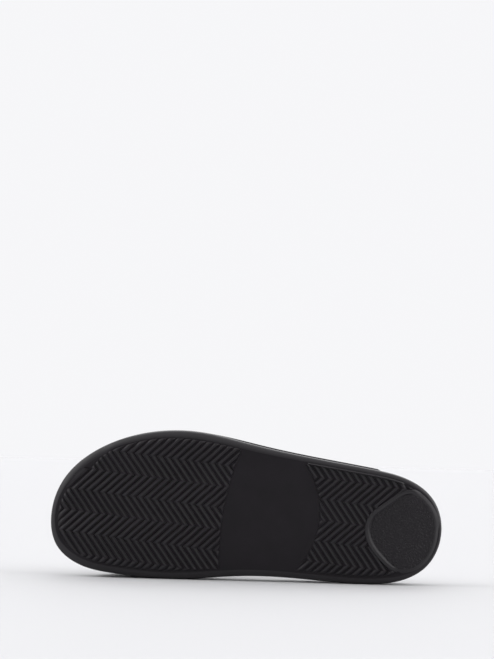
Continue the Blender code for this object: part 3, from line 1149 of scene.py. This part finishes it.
    def edge_rows(self, s: Array, inward: Array, outer: Array) -> list[Row]:
        """The rows from the tread's field over the rim and round the bottom edge.

        At the toe the rim stands out to a low crest by a smooth step of the way outwards. From there the
        edge is a quarter of a superellipse, inset * (1 - sin^p) and height * (1 - cos^p). It is softer
        and flatter at the toe, and firmer where it faces the inner side.

        Args:
            s: Lengths of the outline's points from the toe.
            inward: Their inward normals.
            outer: Whether each is on the outer side.

        Returns:
            Insets from the outline and heights, row by row.
        """
        edge = np.minimum(self.margin(s, outer) - self.edge_gap, self.edge_round[1])
        toe = 1.0 - smoothstep(s, *self.rim_lift_fade)
        rise = np.maximum(edge, self.edge_round[0])
        rise = rise + (self.toe_rise - rise) * toe
        lift = self.rim_lift * toe
        soft, firm = self.edge_softness
        softness = soft + (firm - soft) * smoothstep(-inward[:, 1], *self.firm_facing)
        power = 2.0 / (softness + (self.toe_softness - softness) * toe)
        rows = []
        for a in self.rim_slope:
            rows.append((edge + a, self.base - lift * (1.0 - smoothstep(a, 0.0, self.rim_slope[0]))))
        for a in np.linspace(0.0, QUARTER_TURN, self.round_steps):
            height = self.base - lift + (rise + lift) * (1 - abs(math.cos(a)) ** power)
            rows.append((edge * (1 - math.sin(a) ** power), height))
        return rows

    def wall_rows(self, top: Array, band: Array, rim: Array) -> list[Row]:
        """The rows up the side wall, over the lip and down into the pocket.

        The parting line is a low bead, the band's lower edge a smooth step, and the wall leans in by its
        draft. The lip is a quarter round that is cut off at the rim's width.

        Args:
            top: Height of the rim at each point of the outline.
            band: How far the band stands out there.
            rim: Width of the rim there.

        Returns:
            Insets from the outline and heights, row by row.
        """
        level = np.zeros_like(top)
        rows = []
        for above, share in self.parting_bead:
            rows.append((level - share * self.parting_proud, level + self.parting_height + above))
        for share in np.linspace(0.0, 1.0, self.band_steps):
            height = level + self.band_low + self.band_edge * share
            rows.append((-band * smoothstep(share, 0.0, 1.0), height))
        low = self.band_low + self.band_edge
        high = top - self.lip_radius
        for share in np.linspace(0.0, 1.0, self.wall_steps)[1:-1]:
            rows.append((self.wall_draft * share - band, low + (high - low) * share))
        for a in np.linspace(0.0, QUARTER_TURN, self.round_steps):
            inset = np.minimum(self.wall_draft + self.lip_radius * (1 - math.cos(a)) - band, rim)
            fall = np.clip(1.0 - (inset - self.wall_draft + band) / self.lip_radius, -1.0, 1.0)
            rows.append((inset, top - self.lip_radius * (1 - np.sqrt(1 - fall * fall))))
        rows.append((rim, rows[-1][1]))
        rows.append((rim, top - self.last.pocket_depth))
        return rows

    def body(self) -> Surface:
        """The cup: rings from the middle of the bottom, round its edge, up the wall and into the pocket.

        Returns:
            The closed surface; its bottom takes the second finish.
        """
        points, inward, outer = self.last.edge(self.half_count)
        s = points[:, 0]
        rows = self.edge_rows(s, inward, outer)
        rows += self.wall_rows(self.last.wall_top(s), self.band(s, outer), self.rim(s, outer))
        insets, heights = (np.stack(part) for part in zip(*rows))
        flat = points[None] + inward[None] * insets[..., None]
        bottom = self.last.towards_spine(flat[0], np.linspace(*self.bottom_rings))
        pocket = self.last.towards_spine(flat[-1], np.array(self.pocket_rings))
        wall = at_height(flat, heights)
        grid = np.concatenate([at_height(bottom, self.base), wall, at_height(pocket, heights[-1])])
        surface = Surface.closed(self.last.lifted(grid))
        bottom_rows = len(bottom) + len(self.rim_slope)
        row = np.repeat(np.arange(len(grid) - 1), len(points))
        caps = [np.zeros(len(surface.faces[1])), np.full(len(surface.faces[2]), len(grid))]
        surface.second = np.concatenate([row, *caps]) < bottom_rows
        return surface

    def edge_room(self, s: Array, w: Array, border: float = 0.0) -> Array:
        """How far a point lies inside the tread's margin, in parts of the ridges' run-out.

        Ridges run out shortly on the outer side, more slowly on the inner side, and slowest at the toe.

        Args:
            s: Lengths from the toe.
            w: Distances to the inner side.
            border: How much wider the margin is.

        Returns:
            0 at the margin, 1 where ridges have their full height.
        """
        outer = w < self.last.middle_at(s)
        toe = self.run_out[2] * (1.0 - smoothstep(s, *self.run_out_toe))
        inside = self.last.clearance(s, w) - self.margin(s, outer) - border
        return inside / (np.where(outer, *self.run_out[:2]) + toe)

    def forefoot_room(self, s: Array, w: Array) -> Array:
        """How far a point lies inside the forefoot's tread: clear of the edge and in front of the arch."""
        return np.minimum(self.edge_room(s, w), outside(s, w, self.arch_front) / self.run_out[0])

    def heel_room(self, s: Array, w: Array) -> Array:
        """How far a point lies inside the heel's tread: the least of its ways to edge, arch and ring.

        Args:
            s: Lengths from the toe.
            w: Distances to the inner side.

        Returns:
            0 at the zone's edge, 1 where ridges have their full height.
        """
        arch = np.where(s < self.arch_back[0], -1.0, outside(s, w, self.arch_back))
        ring = self.disc.beyond(s, w) - self.disc.width + self.disc.overlap
        edge = self.edge_room(s, w, 0.5 * self.border_width)
        return np.minimum(edge, np.minimum(arch, ring) / self.run_out[0])

    def ridges(self, zone: TreadZone, room: Room) -> Surface:
        """Zigzag ridges of one zone, each over the runs of its line that lie inside the zone.

        Args:
            zone: Where the ridges lie.
            room: How far a point lies inside the zone.

        Returns:
            All ridges in one mesh.
        """
        offset = self.bead(zone.half_width, 0.0)[:, 0]
        scan = zone.apex + np.arange(-self.scan_reach, self.scan_reach, self.scan_step)
        parts = []
        for start in zone.starts():
            inside = (room(*zone.carried(start, scan, offset)) > 0.0).any(axis=1)
            change = np.flatnonzero(np.diff(np.concatenate([[False], inside, [False]]).astype(int)))
            for low, high in zip(scan[change[::2]], scan[np.minimum(change[1::2], len(scan) - 1)]):
                if high - low < self.ridge_shortest:
                    continue
                count = max(self.ridge_fewest, int((high - low) / self.ridge_step))
                even = np.linspace(low - self.ridge_overrun, high + self.ridge_overrun, count)
                parts.append(self.ridge(zone, room, start, np.union1d(even, zone.corners(low, high))))
        return Surface.join(parts)

    def ridge(self, zone: TreadZone, room: Room, start: float, v: Array) -> Surface:
        """One ridge over a run of places across the foot.

        A fixed profile is carried along the zigzag. Its height is full where the point lies a little
        inside the zone, and it runs out below the sole's skin beyond the zone's edge.

        Args:
            zone: Where the ridge lies.
            room: How far a point lies inside the zone.
            start: Where the ridge crosses the toe-pointing rows.
            v: The places across the foot.

        Returns:
            The closed surface.
        """
        profile = self.bead(zone.half_width, 0.0)
        s, w = self.last.drawn_in(*zone.carried(start, v, profile[:, 0]), self.ridge_keep)
        inside = room(s, w)
        sunk = self.foot + np.clip(-self.ridge_dive * inside, 0.0, self.ridge_deepest)
        height = sunk + (profile[None, :, 1] - sunk) * smoothstep(inside, *self.ridge_fade)
        return Surface.closed(self.last.lifted(np.stack([s, w, height], axis=-1)))

    def toe_shelf(self) -> Surface:
        """The field at the outer toe where the outermost ridge and the rim are one.

        Towards the heel it has the flank of that ridge. Towards the toe it falls evenly with the way to
        the rim, and dives under the rim's skin.

        Returns:
            The closed surface.
        """
        zone = self.forefoot
        start = zone.starts()[self.shelf_ridge]
        v = np.linspace(zone.apex, zone.apex - 0.5 * zone.period, self.shelf_steps[0])
        flank = self.bead(zone.half_width, 0.0)
        flank = flank[flank[:, 0] > 0.0]
        offset = np.concatenate([np.linspace(-self.shelf_reach, 0.0, self.shelf_steps[1]), flank[:, 0]])
        s, w = self.last.drawn_in(*zone.carried(start, v, offset), self.shelf_keep)
        rim, rim_height = self.shelf_edge
        room = self.last.clearance(*zone.ridge_line(start, v)) - rim
        share = (self.last.clearance(s, w) - rim) / np.maximum(room, self.shelf_room)[:, None]
        top = rim_height + (self.shelf_top - rim_height) * np.clip(share, 0.0, 1.0)
        count = len(flank)
        crest = top[:, -count - 1][:, None]
        top[:, -count:] = self.foot - (self.foot - flank[None, :, 1]) * (self.foot - crest) / self.foot
        flat = np.stack([s, w], axis=-1)
        section = [at_height(flat, top), at_height(flat, self.shelf_under)[:, ::-1]]
        return Surface.closed(self.last.lifted(np.concatenate(section, axis=1)))

    def heel_border(self) -> Surface:
        """The thin bar along the ends of the heel ridges: a bead on the outer margin, low at its ends.

        Returns:
            The closed surface.
        """
        points, inward, outer = self.last.edge(self.half_count)
        chosen = outer & (points[:, 0] > self.border_span[0]) & (points[:, 0] < self.border_span[1])
        points, inward, outer = points[chosen], inward[chosen], outer[chosen]
        half = 0.5 * self.border_width
        profile = self.bead(half, self.border_drop)
        line = points + inward * (self.margin(points[:, 0], outer) + half)[:, None]
        near = np.minimum(line[:, 0] - line[:, 0].min(), line[:, 0].max() - line[:, 0])
        full = smoothstep(near, 0.0, self.border_fade)[:, None]
        height = self.foot + (profile[None, :, 1] - self.foot) * full
        return Surface.closed(at_height(line[:, None] + inward[:, None] * profile[None, :, :1], height))

    def build(self, bench: Bench) -> None:
        """Makes the sole's pieces and dresses them.

        Args:
            bench: Where pieces are made.
        """
        rubber = MouldedRubber("moulded_rubber").build()
        arch_rubber = MouldedRubber("arch_rubber", specular=0.24).build()
        ridge_rubber = MouldedRubber("tread_rubber", specular=0.34, grain_depth=0.008).build()
        ring_rubber = MouldedRubber("ring_rubber", specular=0.5, grain_depth=0.008).build()
        pebbled = MouldedRubber("pebbled_rubber", specular=0.34, pebbles=(760.0, 0.4)).build()
        forefoot = Surface.join([self.ridges(self.forefoot, self.forefoot_room), self.toe_shelf()])
        bench.piece("sole_cup", self.body(), rubber, Solid.SOLE, arch_rubber)
        bench.piece("forefoot_tread", forefoot, ridge_rubber)
        bench.piece("heel_tread", self.ridges(self.heel, self.heel_room), ridge_rubber)
        bench.piece("heel_ring", self.disc.ring(), ring_rubber)
        bench.piece("heel_border", self.heel_border(), ring_rubber)
        bench.piece("heel_disc", self.disc.plate(), pebbled)


@dataclass
class Footbed:
    """Insole in the sole's pocket: dished, with a rise under the arch and a pressed line near its edge."""

    last: Last
    inset: float = 6.5
    below_rim: float = 1.5
    round_edge: float = 1.5
    gap: float = 0.3
    dish_heel: float = 5.0
    dish_forefoot: float = 1.6
    arch_rise: float = 4.0
    arch_place: Pair = (165.0, 34.0)
    arch_spread: Pair = (38.0, 20.0)
    line_inset: float = 5.0
    line_depth: float = 0.5
    line_width: float = 0.8
    half_count: int = 300
    round_steps: int = 7
    under_rings: Triple = (0.05, 0.6, 1.0)
    top_rings: tuple[float, float, int] = (0.985, 0.03, 52)

    def top(self, s: Array, w: Array) -> Array:
        """Upper surface: below the rim by a dish that is a parabola across, plus a bell-shaped arch.

        The pressed line is a bell-shaped trough at an even distance from the outline.

        Args:
            s: Lengths from the toe.
            w: Distances to the inner side.

        Returns:
            The height at each point.
        """
        half = 0.5 * (self.last.side_at(s, Side.INNER) - self.last.side_at(s, Side.OUTER)) - self.inset
        across = np.clip((w - self.last.middle_at(s)) / half, -1.0, 1.0)
        deep = self.dish_forefoot + (self.dish_heel - self.dish_forefoot) * smoothstep(s, *self.last.rise)
        away_s = (s - self.arch_place[0]) / self.arch_spread[0]
        away_w = (w - self.arch_place[1]) / self.arch_spread[1]
        arch = self.arch_rise * np.exp(-away_s ** 2 - away_w ** 2)
        line = (self.last.clearance(s, w) - self.inset - self.line_inset) / self.line_width
        pressed = self.line_depth * np.exp(-line ** 2)
        return self.last.wall_top(s) - self.below_rim - deep * (1.0 - across * across) + arch - pressed

    def body(self) -> Surface:
        """Rings from under the foot, up the side, over a quarter round and across the top.

        Returns:
            The closed surface.
        """
        points, inward, _ = self.last.edge(self.half_count)
        rim = self.last.wall_top(points[:, 0])
        side = points + inward * self.inset
        under = self.last.towards_spine(side, np.array(self.under_rings))
        low = np.broadcast_to(rim - self.last.pocket_depth + self.gap, under.shape[:2])
        turns = np.linspace(0.0, QUARTER_TURN, self.round_steps)
        brow = points + inward * (self.inset + self.round_edge)
        brow_height = self.top(brow[:, 0], brow[:, 1])
        shoulder = np.stack([side + inward * self.round_edge * (1 - math.cos(a)) for a in turns])
        rise = np.stack([brow_height - self.round_edge * (1 - math.sin(a)) for a in turns])
        across = self.last.towards_spine(brow, np.linspace(*self.top_rings))
        top = self.top(across[..., 0], across[..., 1])
        grid = at_height(np.concatenate([under, shoulder, across]), np.concatenate([low, rise, top]))
        return Surface.closed(self.last.lifted(grid))

    def build(self, bench: Bench) -> None:
        """Makes the footbed and dresses it."""
        cover = BrushedCover("brushed_cover").build()
        bench.piece("footbed_cover", self.body(), cover, Solid.FOOTBED)


@dataclass(frozen=True)
class Crease:
    """A soft trough in the strap: its place round the foot and across the strap, its size and its turn."""

    turn: float
    across: float
    length: float
    width: float
    depth: float
    tilt: float


@dataclass
class Strap:
    """The upper: one wide wall over the foot with low ribs round it, rolled edges, lining and seams.

    Front and rear hold where each edge leaves the inner side, crosses the crown and meets the outer side,
    and its height above the rim. A stitch's size is its length, half width and half height.
    """

    last: Last
    front: Quad = (36.0, 56.0, 62.0, 44.0)
    rear: Quad = (118.0, 128.0, 146.0, 60.0)
    wall: float = 3.2
    inset: float = 3.0
    tab: float = 8.5
    squareness: float = 2.5
    bulge_inner: float = 6.2
    bulge_outer: float = 1.0
    crown_shift: float = 5.0
    mean_width: float = 82.0
    mean_radius: float = 45.0
    rib_pitch: float = 8.6
    rib_fade: Pair = (1.5, 0.2)
    rib_ends: Pair = (0.25, 0.55)
    groove_width: float = 1.0
    groove_depth: float = 0.8
    plain_edge: float = 9.0
    seam_inset: float = 4.4
    seam_width: float = 0.9
    seam_depth: float = 0.3
    stitch_pitch: float = 3.6
    stitch_size: Triple = (2.5, 0.42, 0.38)
    stitch_dip: float = 0.25
    stitch_proud: float = 0.08
    stitch_tip: float = 0.02
    stitch_start: float = 6.0
    stitch_grid: tuple[int, int] = (7, 6)
    lining_inset: float = 3.5
    lining_overlap: float = 0.1
    lining_depth: float = 0.6
    lining_steps: tuple[int, int] = (90, 60)
    shell_steps: tuple[int, int] = (150, 150)
    seam_steps: int = 600
    tab_steps: int = 4
    edge_steps: int = 9
    creases: tuple[Crease, ...] = (
        Crease(0.42, 0.30, 24.0, 2.6, 0.35, 0.25),
        Crease(0.55, 0.62, 28.0, 3.2, 0.40, -0.15),
        Crease(2.62, 0.45, 26.0, 2.8, 0.35, 0.20),
        Crease(2.45, 0.75, 20.0, 2.4, 0.30, -0.30),
    )

    def shape(self, turn: Array, across: Array, drop: Array) -> Array:
        """The strap's smooth outer face.

        The length s is a parabola through the inner base, the crown and the outer base. Across the foot
        the section is a superellipse that leans to the inner side and bulges over the sole's edge. Below
        its bases the wall goes straight down into the sole.

        Args:
            turn: 0 at the inner base to pi at the outer base.
            across: 0 at the front edge to 1 at the rear edge.
            drop: Distance below the base.

        Returns:
            Points in shoe axes.
        """
        share = turn / math.pi
        inner_s, crown_s, outer_s, height = (a + across * (b - a) for a, b in zip(self.front, self.rear))
        s = inner_s * (1 - share) * (1 - 2 * share) + crown_s * 4 * share * (1 - share)
        s = s + outer_s * share * (2 * share - 1)
        inner = self.last.side_at(inner_s, Side.INNER) - self.inset
        outer = self.last.side_at(outer_s, Side.OUTER) + self.inset
        power = 2.0 / self.squareness
        rise = np.maximum(np.sin(turn), 0.0) ** power
        reach = np.sign(np.cos(turn)) * np.abs(np.cos(turn)) ** power
        bulge = np.where(np.cos(turn) > 0.0, self.bulge_inner, -self.bulge_outer)
        w = 0.5 * (inner + outer) + 0.5 * (inner - outer) * reach + self.crown_shift * rise ** 3
        w = w + bulge * np.sin(math.pi * rise)
        h = self.last.wall_top(s) + height * rise - drop
        return self.last.lifted(np.stack(np.broadcast_arrays(s, w, h), axis=-1))

    def frame(self, turn: Array, across: Array, drop: Array) -> tuple[Array, Array]:
        """Points of the smooth outer face and their outward normals.

        A normal is the way round the foot crossed with the way across the strap, both from small
        differences. Below the bases the way round is upright.

        Args:
            turn: 0 at the inner base to pi at the outer base.
            across: 0 at the front edge to 1 at the rear edge.
            drop: Distance below the base.

        Returns:
            The points and their unit normals.
        """
        step = 1e-4
        point = self.shape(turn, across, drop)
        ahead = self.shape(np.minimum(turn + step, math.pi), across, drop)
        behind = self.shape(np.maximum(turn - step, 0.0), across, drop)
        upright = np.where(turn < QUARTER_TURN, 1.0, -1.0)[..., None] * np.array([0.0, 0.0, 1.0])
        along = np.where((drop > 0.0)[..., None], upright, ahead - behind)
        sideways = self.shape(turn, across + step, drop) - self.shape(turn, across - step, drop)
        normal = np.cross(along, sideways)
        return point, normal / np.linalg.norm(normal, axis=-1, keepdims=True)

    def relief(self, turn: Array, across: Array) -> Array:
        """How deep the outer face lies under its smooth form.

        Grooves between the ribs, the two seams and the creases are bell-shaped troughs that are added
        up. The grooves fade out towards the strap's edges and its ends.

        Args:
            turn: 0 at the inner base to pi at the outer base.
            across: 0 at the front edge to 1 at the rear edge.

        Returns:
            The depth at each point.
        """
        place = across * self.mean_width
        inside = np.minimum(place, self.mean_width - place)
        phase = (place - self.plain_edge + 0.5 * self.rib_pitch) % self.rib_pitch - 0.5 * self.rib_pitch
        ends = smoothstep(np.sin(turn), *self.rib_ends)
        ribbed = smoothstep(inside, *(self.plain_edge - fade for fade in self.rib_fade))
        depth = self.groove_depth * np.exp(-(phase / self.groove_width) ** 2) * ribbed * ends
        depth = depth + self.seam_depth * np.exp(-((inside - self.seam_inset) / self.seam_width) ** 2)
        for crease in self.creases:
            run = (turn - crease.turn) * self.mean_radius
            side = (across - crease.across) * self.mean_width
            along = side * math.cos(crease.tilt) + run * math.sin(crease.tilt)
            cross = run * math.cos(crease.tilt) - side * math.sin(crease.tilt)
            far = (along / crease.length * 2) ** 2 + (cross / crease.width) ** 2
            depth = depth + crease.depth * np.exp(-far)
        return depth

    def path(self, count: int, with_tabs: bool) -> tuple[Array, Array]:
        """Turns and drops along the strap, closer together near its bases.

        Args:
            count: Steps round the arc.
            with_tabs: Whether the straight ends in the sole are included.

        Returns:
            The turns and the drops.
        """
        turn = QUARTER_TURN * (1 - np.cos(np.linspace(0.0, math.pi, count + 1)))
        drop = np.zeros_like(turn)
        if with_tabs:
            down = np.linspace(self.tab, 0.0, self.tab_steps + 1)[:-1]
            turn = np.concatenate([np.zeros(self.tab_steps), turn, np.full(self.tab_steps, math.pi)])
            drop = np.concatenate([down, drop, down[::-1]])
        return turn, drop

    def layer(self, count: int, tabs: bool, across: Array, depth: Array, relief: Array) -> Surface:
        """A closed wall: a section of places across and depths, carried round the foot.

        Args:
            count: Steps round the arc.
            tabs: Whether it goes down into the sole.
            across: Places of the section's points, 0 front to 1 rear.
            depth: Depth of each point under the outer face, in millimetres.
            relief: How much of the outer face's relief each point takes, 0 to 1.

        Returns:
            The closed surface.
        """
        turn, drop = self.path(count, tabs)
        turn, drop, across = np.broadcast_arrays(turn[:, None], drop[:, None], across[None])
        point, normal = self.frame(turn, across, drop)
        sunk = depth[None] + relief[None] * self.relief(turn, across)
        return Surface.closed(point - normal * sunk[..., None])

    def section(self, margin: float, outer: float, inner: float, steps: int) -> tuple[Array, Array, Array]:
        """A closed section with half round edges: outer face to the rear, inner face back to the front.

        Args:
            margin: How far the section stays inside the strap's edges, in millimetres.
            outer: Depth of its outer face.
            inner: Depth of its inner face.
            steps: Points across each face.

        Returns:
            Places across, depths, and the share of relief of each point.
        """
        radius = 0.5 * (inner - outer)
        low = (margin + radius) / self.mean_width
        face = np.linspace(low, 1.0 - low, steps)
        a = np.linspace(0.0, math.pi, self.edge_steps)[1:-1]
        bend = radius / self.mean_width * np.sin(a)
        fall = outer + radius * (1 - np.cos(a))
        across = np.concatenate([face, 1.0 - low + bend, face[::-1], low - bend])
        depth = np.concatenate([np.full(steps, outer), fall, np.full(steps, inner), fall[::-1]])
        relief = np.concatenate([np.ones(steps), np.zeros(steps + 2 * len(a))])
        start = len(a) // 2 + 1
        return tuple(np.roll(part, start) for part in (across, depth, relief))

    def stitches(self) -> Surface:
        """Rows of short stitches in both seams: each is an arched, flattened bead.

        Each bead is a small grid along the seam: its girth swells with the root of 1 - u^4 along its
        length u, and its ends dip with u^2.

        Returns:
            All stitches in one mesh.
        """
        length, half, height = self.stitch_size
        rows, sides = self.stitch_grid
        u = np.linspace(-1.0, 1.0, rows)
        v = np.linspace(0.0, 2.0 * math.pi, sides + 1)[:-1]
        swell = np.sqrt(np.maximum(1.0 - u ** 4, self.stitch_tip))
        run = np.broadcast_to((0.5 * length * u)[:, None], (rows, sides))
        wide = half * swell[:, None] * np.cos(v)[None]
        high = height * swell[:, None] * np.sin(v)[None] - self.stitch_dip * (u ** 2)[:, None]
        step = 1e-3
        parts = []
        for across in (self.seam_inset / self.mean_width, 1.0 - self.seam_inset / self.mean_width):
            dense, drop = self.path(self.seam_steps, False)
            travel = travel_along(self.shape(dense, np.full_like(dense, across), drop))
            places = np.arange(self.stitch_start, travel[-1] - self.stitch_start, self.stitch_pitch)
            turn = np.interp(places, travel, dense)
            place, level = np.full_like(turn, across), np.zeros_like(turn)
            point, normal = self.frame(turn, place, level)
            ahead = self.shape(turn + step, place, level) - point
            ahead /= np.linalg.norm(ahead, axis=-1, keepdims=True)
            side = np.cross(normal, ahead)
            centre = point - normal * (self.seam_depth - self.stitch_proud)
            grids = centre[:, None, None] + ahead[:, None, None] * run[None, ..., None]
            grids = grids + side[:, None, None] * wide[None, ..., None]
            grids = grids + normal[:, None, None] * high[None, ..., None]
            parts += [Surface.closed(grid) for grid in grids]
        return Surface.join(parts)

    def build(self, bench: Bench) -> None:
        """Makes the strap, its lining and its seams, and dresses them.

        Args:
            bench: Where pieces are made.
        """
        coated = CoatedStrap("coated_strap").build()
        cloth = LiningCloth("strap_lining_cloth").build()
        thread = SewingThread("strap_thread").build()
        round_steps, width_steps = self.shell_steps
        shell = self.layer(round_steps, True, *self.section(0.0, 0.0, self.wall, width_steps))
        round_steps, width_steps = self.lining_steps
        depths = self.wall - self.lining_overlap, self.wall + self.lining_depth
        lining = self.layer(round_steps, False, *self.section(self.lining_inset, *depths, width_steps))
        bench.piece("strap_shell", shell, coated, Solid.STRAP)
        bench.piece("strap_lining", lining, cloth)
        bench.piece("strap_stitches", self.stitches(), thread)


@dataclass(frozen=True)
class PhotoCamera:
    """A camera at the photograph's angle: in front of the sole, a little above it and slightly rolled."""

    image: tuple[int, int] = (494, 659)
    aim_place: Triple = (140.0, 3.0, 0.0)
    aim_pixel: Pair = (246.6, 517.9)
    frame_height: float = 0.4719
    lens: float = 100.0
    sensor: float = 36.0
    elevation: float = math.radians(2.0)
    roll: float = math.radians(1.54)

    def build(self, placement: Placement) -> None:
        """Places the camera so that the aimed point falls on its pixel at the photograph's scale.

        The ray to that pixel is rolled, then tilted until it falls by the elevation, then turned to look
        along +Y. The distance follows from the height that the frame takes in at the sole.

        Args:
            placement: Where the shoe axes lie.
        """
        per_pixel = self.sensor / self.lens / self.image[1]
        across = (self.aim_pixel[0] - 0.5 * self.image[0]) * per_pixel
        upward = (0.5 * self.image[1] - self.aim_pixel[1]) * per_pixel
        ray = np.array([across, upward, -1.0])
        roll = rotation(self.roll, 2)
        rolled = roll @ ray / np.linalg.norm(ray)
        reach = math.hypot(rolled[1], rolled[2])
        tilt = math.atan2(rolled[1], rolled[2]) - math.acos(-math.sin(self.elevation) / reach)
        pitch = rotation(tilt, 0)
        seen = pitch @ rolled
        basis = rotation(math.atan2(seen[0], seen[1]), 2) @ pitch @ roll
        depth = self.frame_height * self.lens / self.sensor
        matrix = np.eye(4)
        matrix[:3, :3] = basis
        matrix[:3, 3] = placement.world(np.array([self.aim_place]))[0] - basis @ ray * depth

        data = bpy.data.cameras.new("photo_camera")
        data.sensor_fit = "VERTICAL"
        data.sensor_height = self.sensor
        data.lens = self.lens
        camera = bpy.data.objects.new("photo_camera", data)
        camera.matrix_world = Matrix(matrix.tolist())
        bpy.context.scene.collection.objects.link(camera)
        bpy.context.scene.camera = camera


@dataclass(frozen=True)
class Studio:
    """Pale floor, broad soft lights from all round, and a surround that is white behind and dim in front.

    Each light has a name, its brightness, the angle that it fills and the direction that it comes from.
    """

    floor_size: float = 30.0
    floor_colour: Quad = (0.615, 0.615, 0.625, 1.0)
    floor_roughness: float = 0.8
    floor_specular: float = 0.08
    white: Quad = (0.925, 0.925, 0.943, 1.0)
    front: Quad = (0.15, 0.15, 0.155, 1.0)
    dim_from: Pair = (-0.95, -0.1)
    lights: tuple[tuple[str, float, float, Triple], ...] = (
        ("rear_light", 1.15, 70.0, (0.0, 1.0, 0.5)),
        ("toe_light", 1.0, 46.0, (-0.8, -0.1, 0.65)),
        ("heel_light", 1.25, 56.0, (0.87, -0.1, 0.48)),
        ("front_light", 0.38, 60.0, (0.0, -0.8, 0.65)),
    )

    def floor(self) -> None:
        """A large square floor under the sandal, with a matt finish."""
        material = Board("studio_floor").dress({
            "Base Color": self.floor_colour,
            "Roughness": self.floor_roughness,
            "Specular IOR Level": self.floor_specular,
        })
        half = 0.5 * self.floor_size
        mesh = bpy.data.meshes.new("studio_floor")
        corners = [(-half, -half, 0.0), (half, -half, 0.0), (half, half, 0.0), (-half, half, 0.0)]
        mesh.from_pydata(corners, [], [(0, 1, 2, 3)])
        mesh.materials.append(material)
        item = bpy.data.objects.new("studio_floor", mesh)
        bpy.context.scene.collection.objects.link(item)

    def light(self, name: str, strength: float, spread: float, place: Triple) -> None:
        """A broad, distant light.

        Args:
            name: The light's name.
            strength: Its brightness on a face turned to it.
            spread: The angle that it fills, in degrees.
            place: The direction that it comes from.
        """
        data = bpy.data.lights.new(name, "SUN")
        data.energy = strength
        data.angle = math.radians(spread)
        item = bpy.data.objects.new(name, data)
        item.rotation_euler = Vector(place).to_track_quat("Z", "Y").to_euler()
        bpy.context.scene.collection.objects.link(item)

    def surround(self) -> None:
        """A surround whose brightness steps smoothly from the front to the back of the studio."""
        world = bpy.data.worlds.new("studio_surround")
        world.use_nodes = True
        nodes = Nodes(world.node_tree)
        place = nodes.node("ShaderNodeTexCoord", {}).outputs["Generated"]
        depth = nodes.node("ShaderNodeSeparateXYZ", {"Vector": place}).outputs["Y"]
        inputs = {"Value": depth, "From Min": self.dim_from[0], "From Max": self.dim_from[1]}
        step = nodes.node("ShaderNodeMapRange", inputs, interpolation_type="SMOOTHSTEP").outputs["Result"]
        colour = nodes.blend(step, self.front, self.white)
        nodes.feed(world.node_tree.nodes["Background"], {"Color": colour})
        bpy.context.scene.world = world

    def build(self) -> None:
        """Sets up floor, lights and surround, with plain colours in the picture."""
        self.floor()
        for setting in self.lights:
            self.light(*setting)
        self.surround()
        settings = bpy.context.scene.view_settings
        settings.view_transform = "Standard"
        settings.look = "None"


def main() -> None:
    """Dresses the sandal piece by piece and sets up the studio."""
    logging.basicConfig(level=logging.INFO, format="%(name)s %(message)s")
    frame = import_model()
    bench = Bench(Placement.from_record(frame["record"]))
    last = Last()
    for assembly in (Sole(last), Footbed(last), Strap(last)):
        assembly.build(bench)
    PhotoCamera().build(bench.placement)
    Studio().build()


if __name__ == "__main__":
    main()
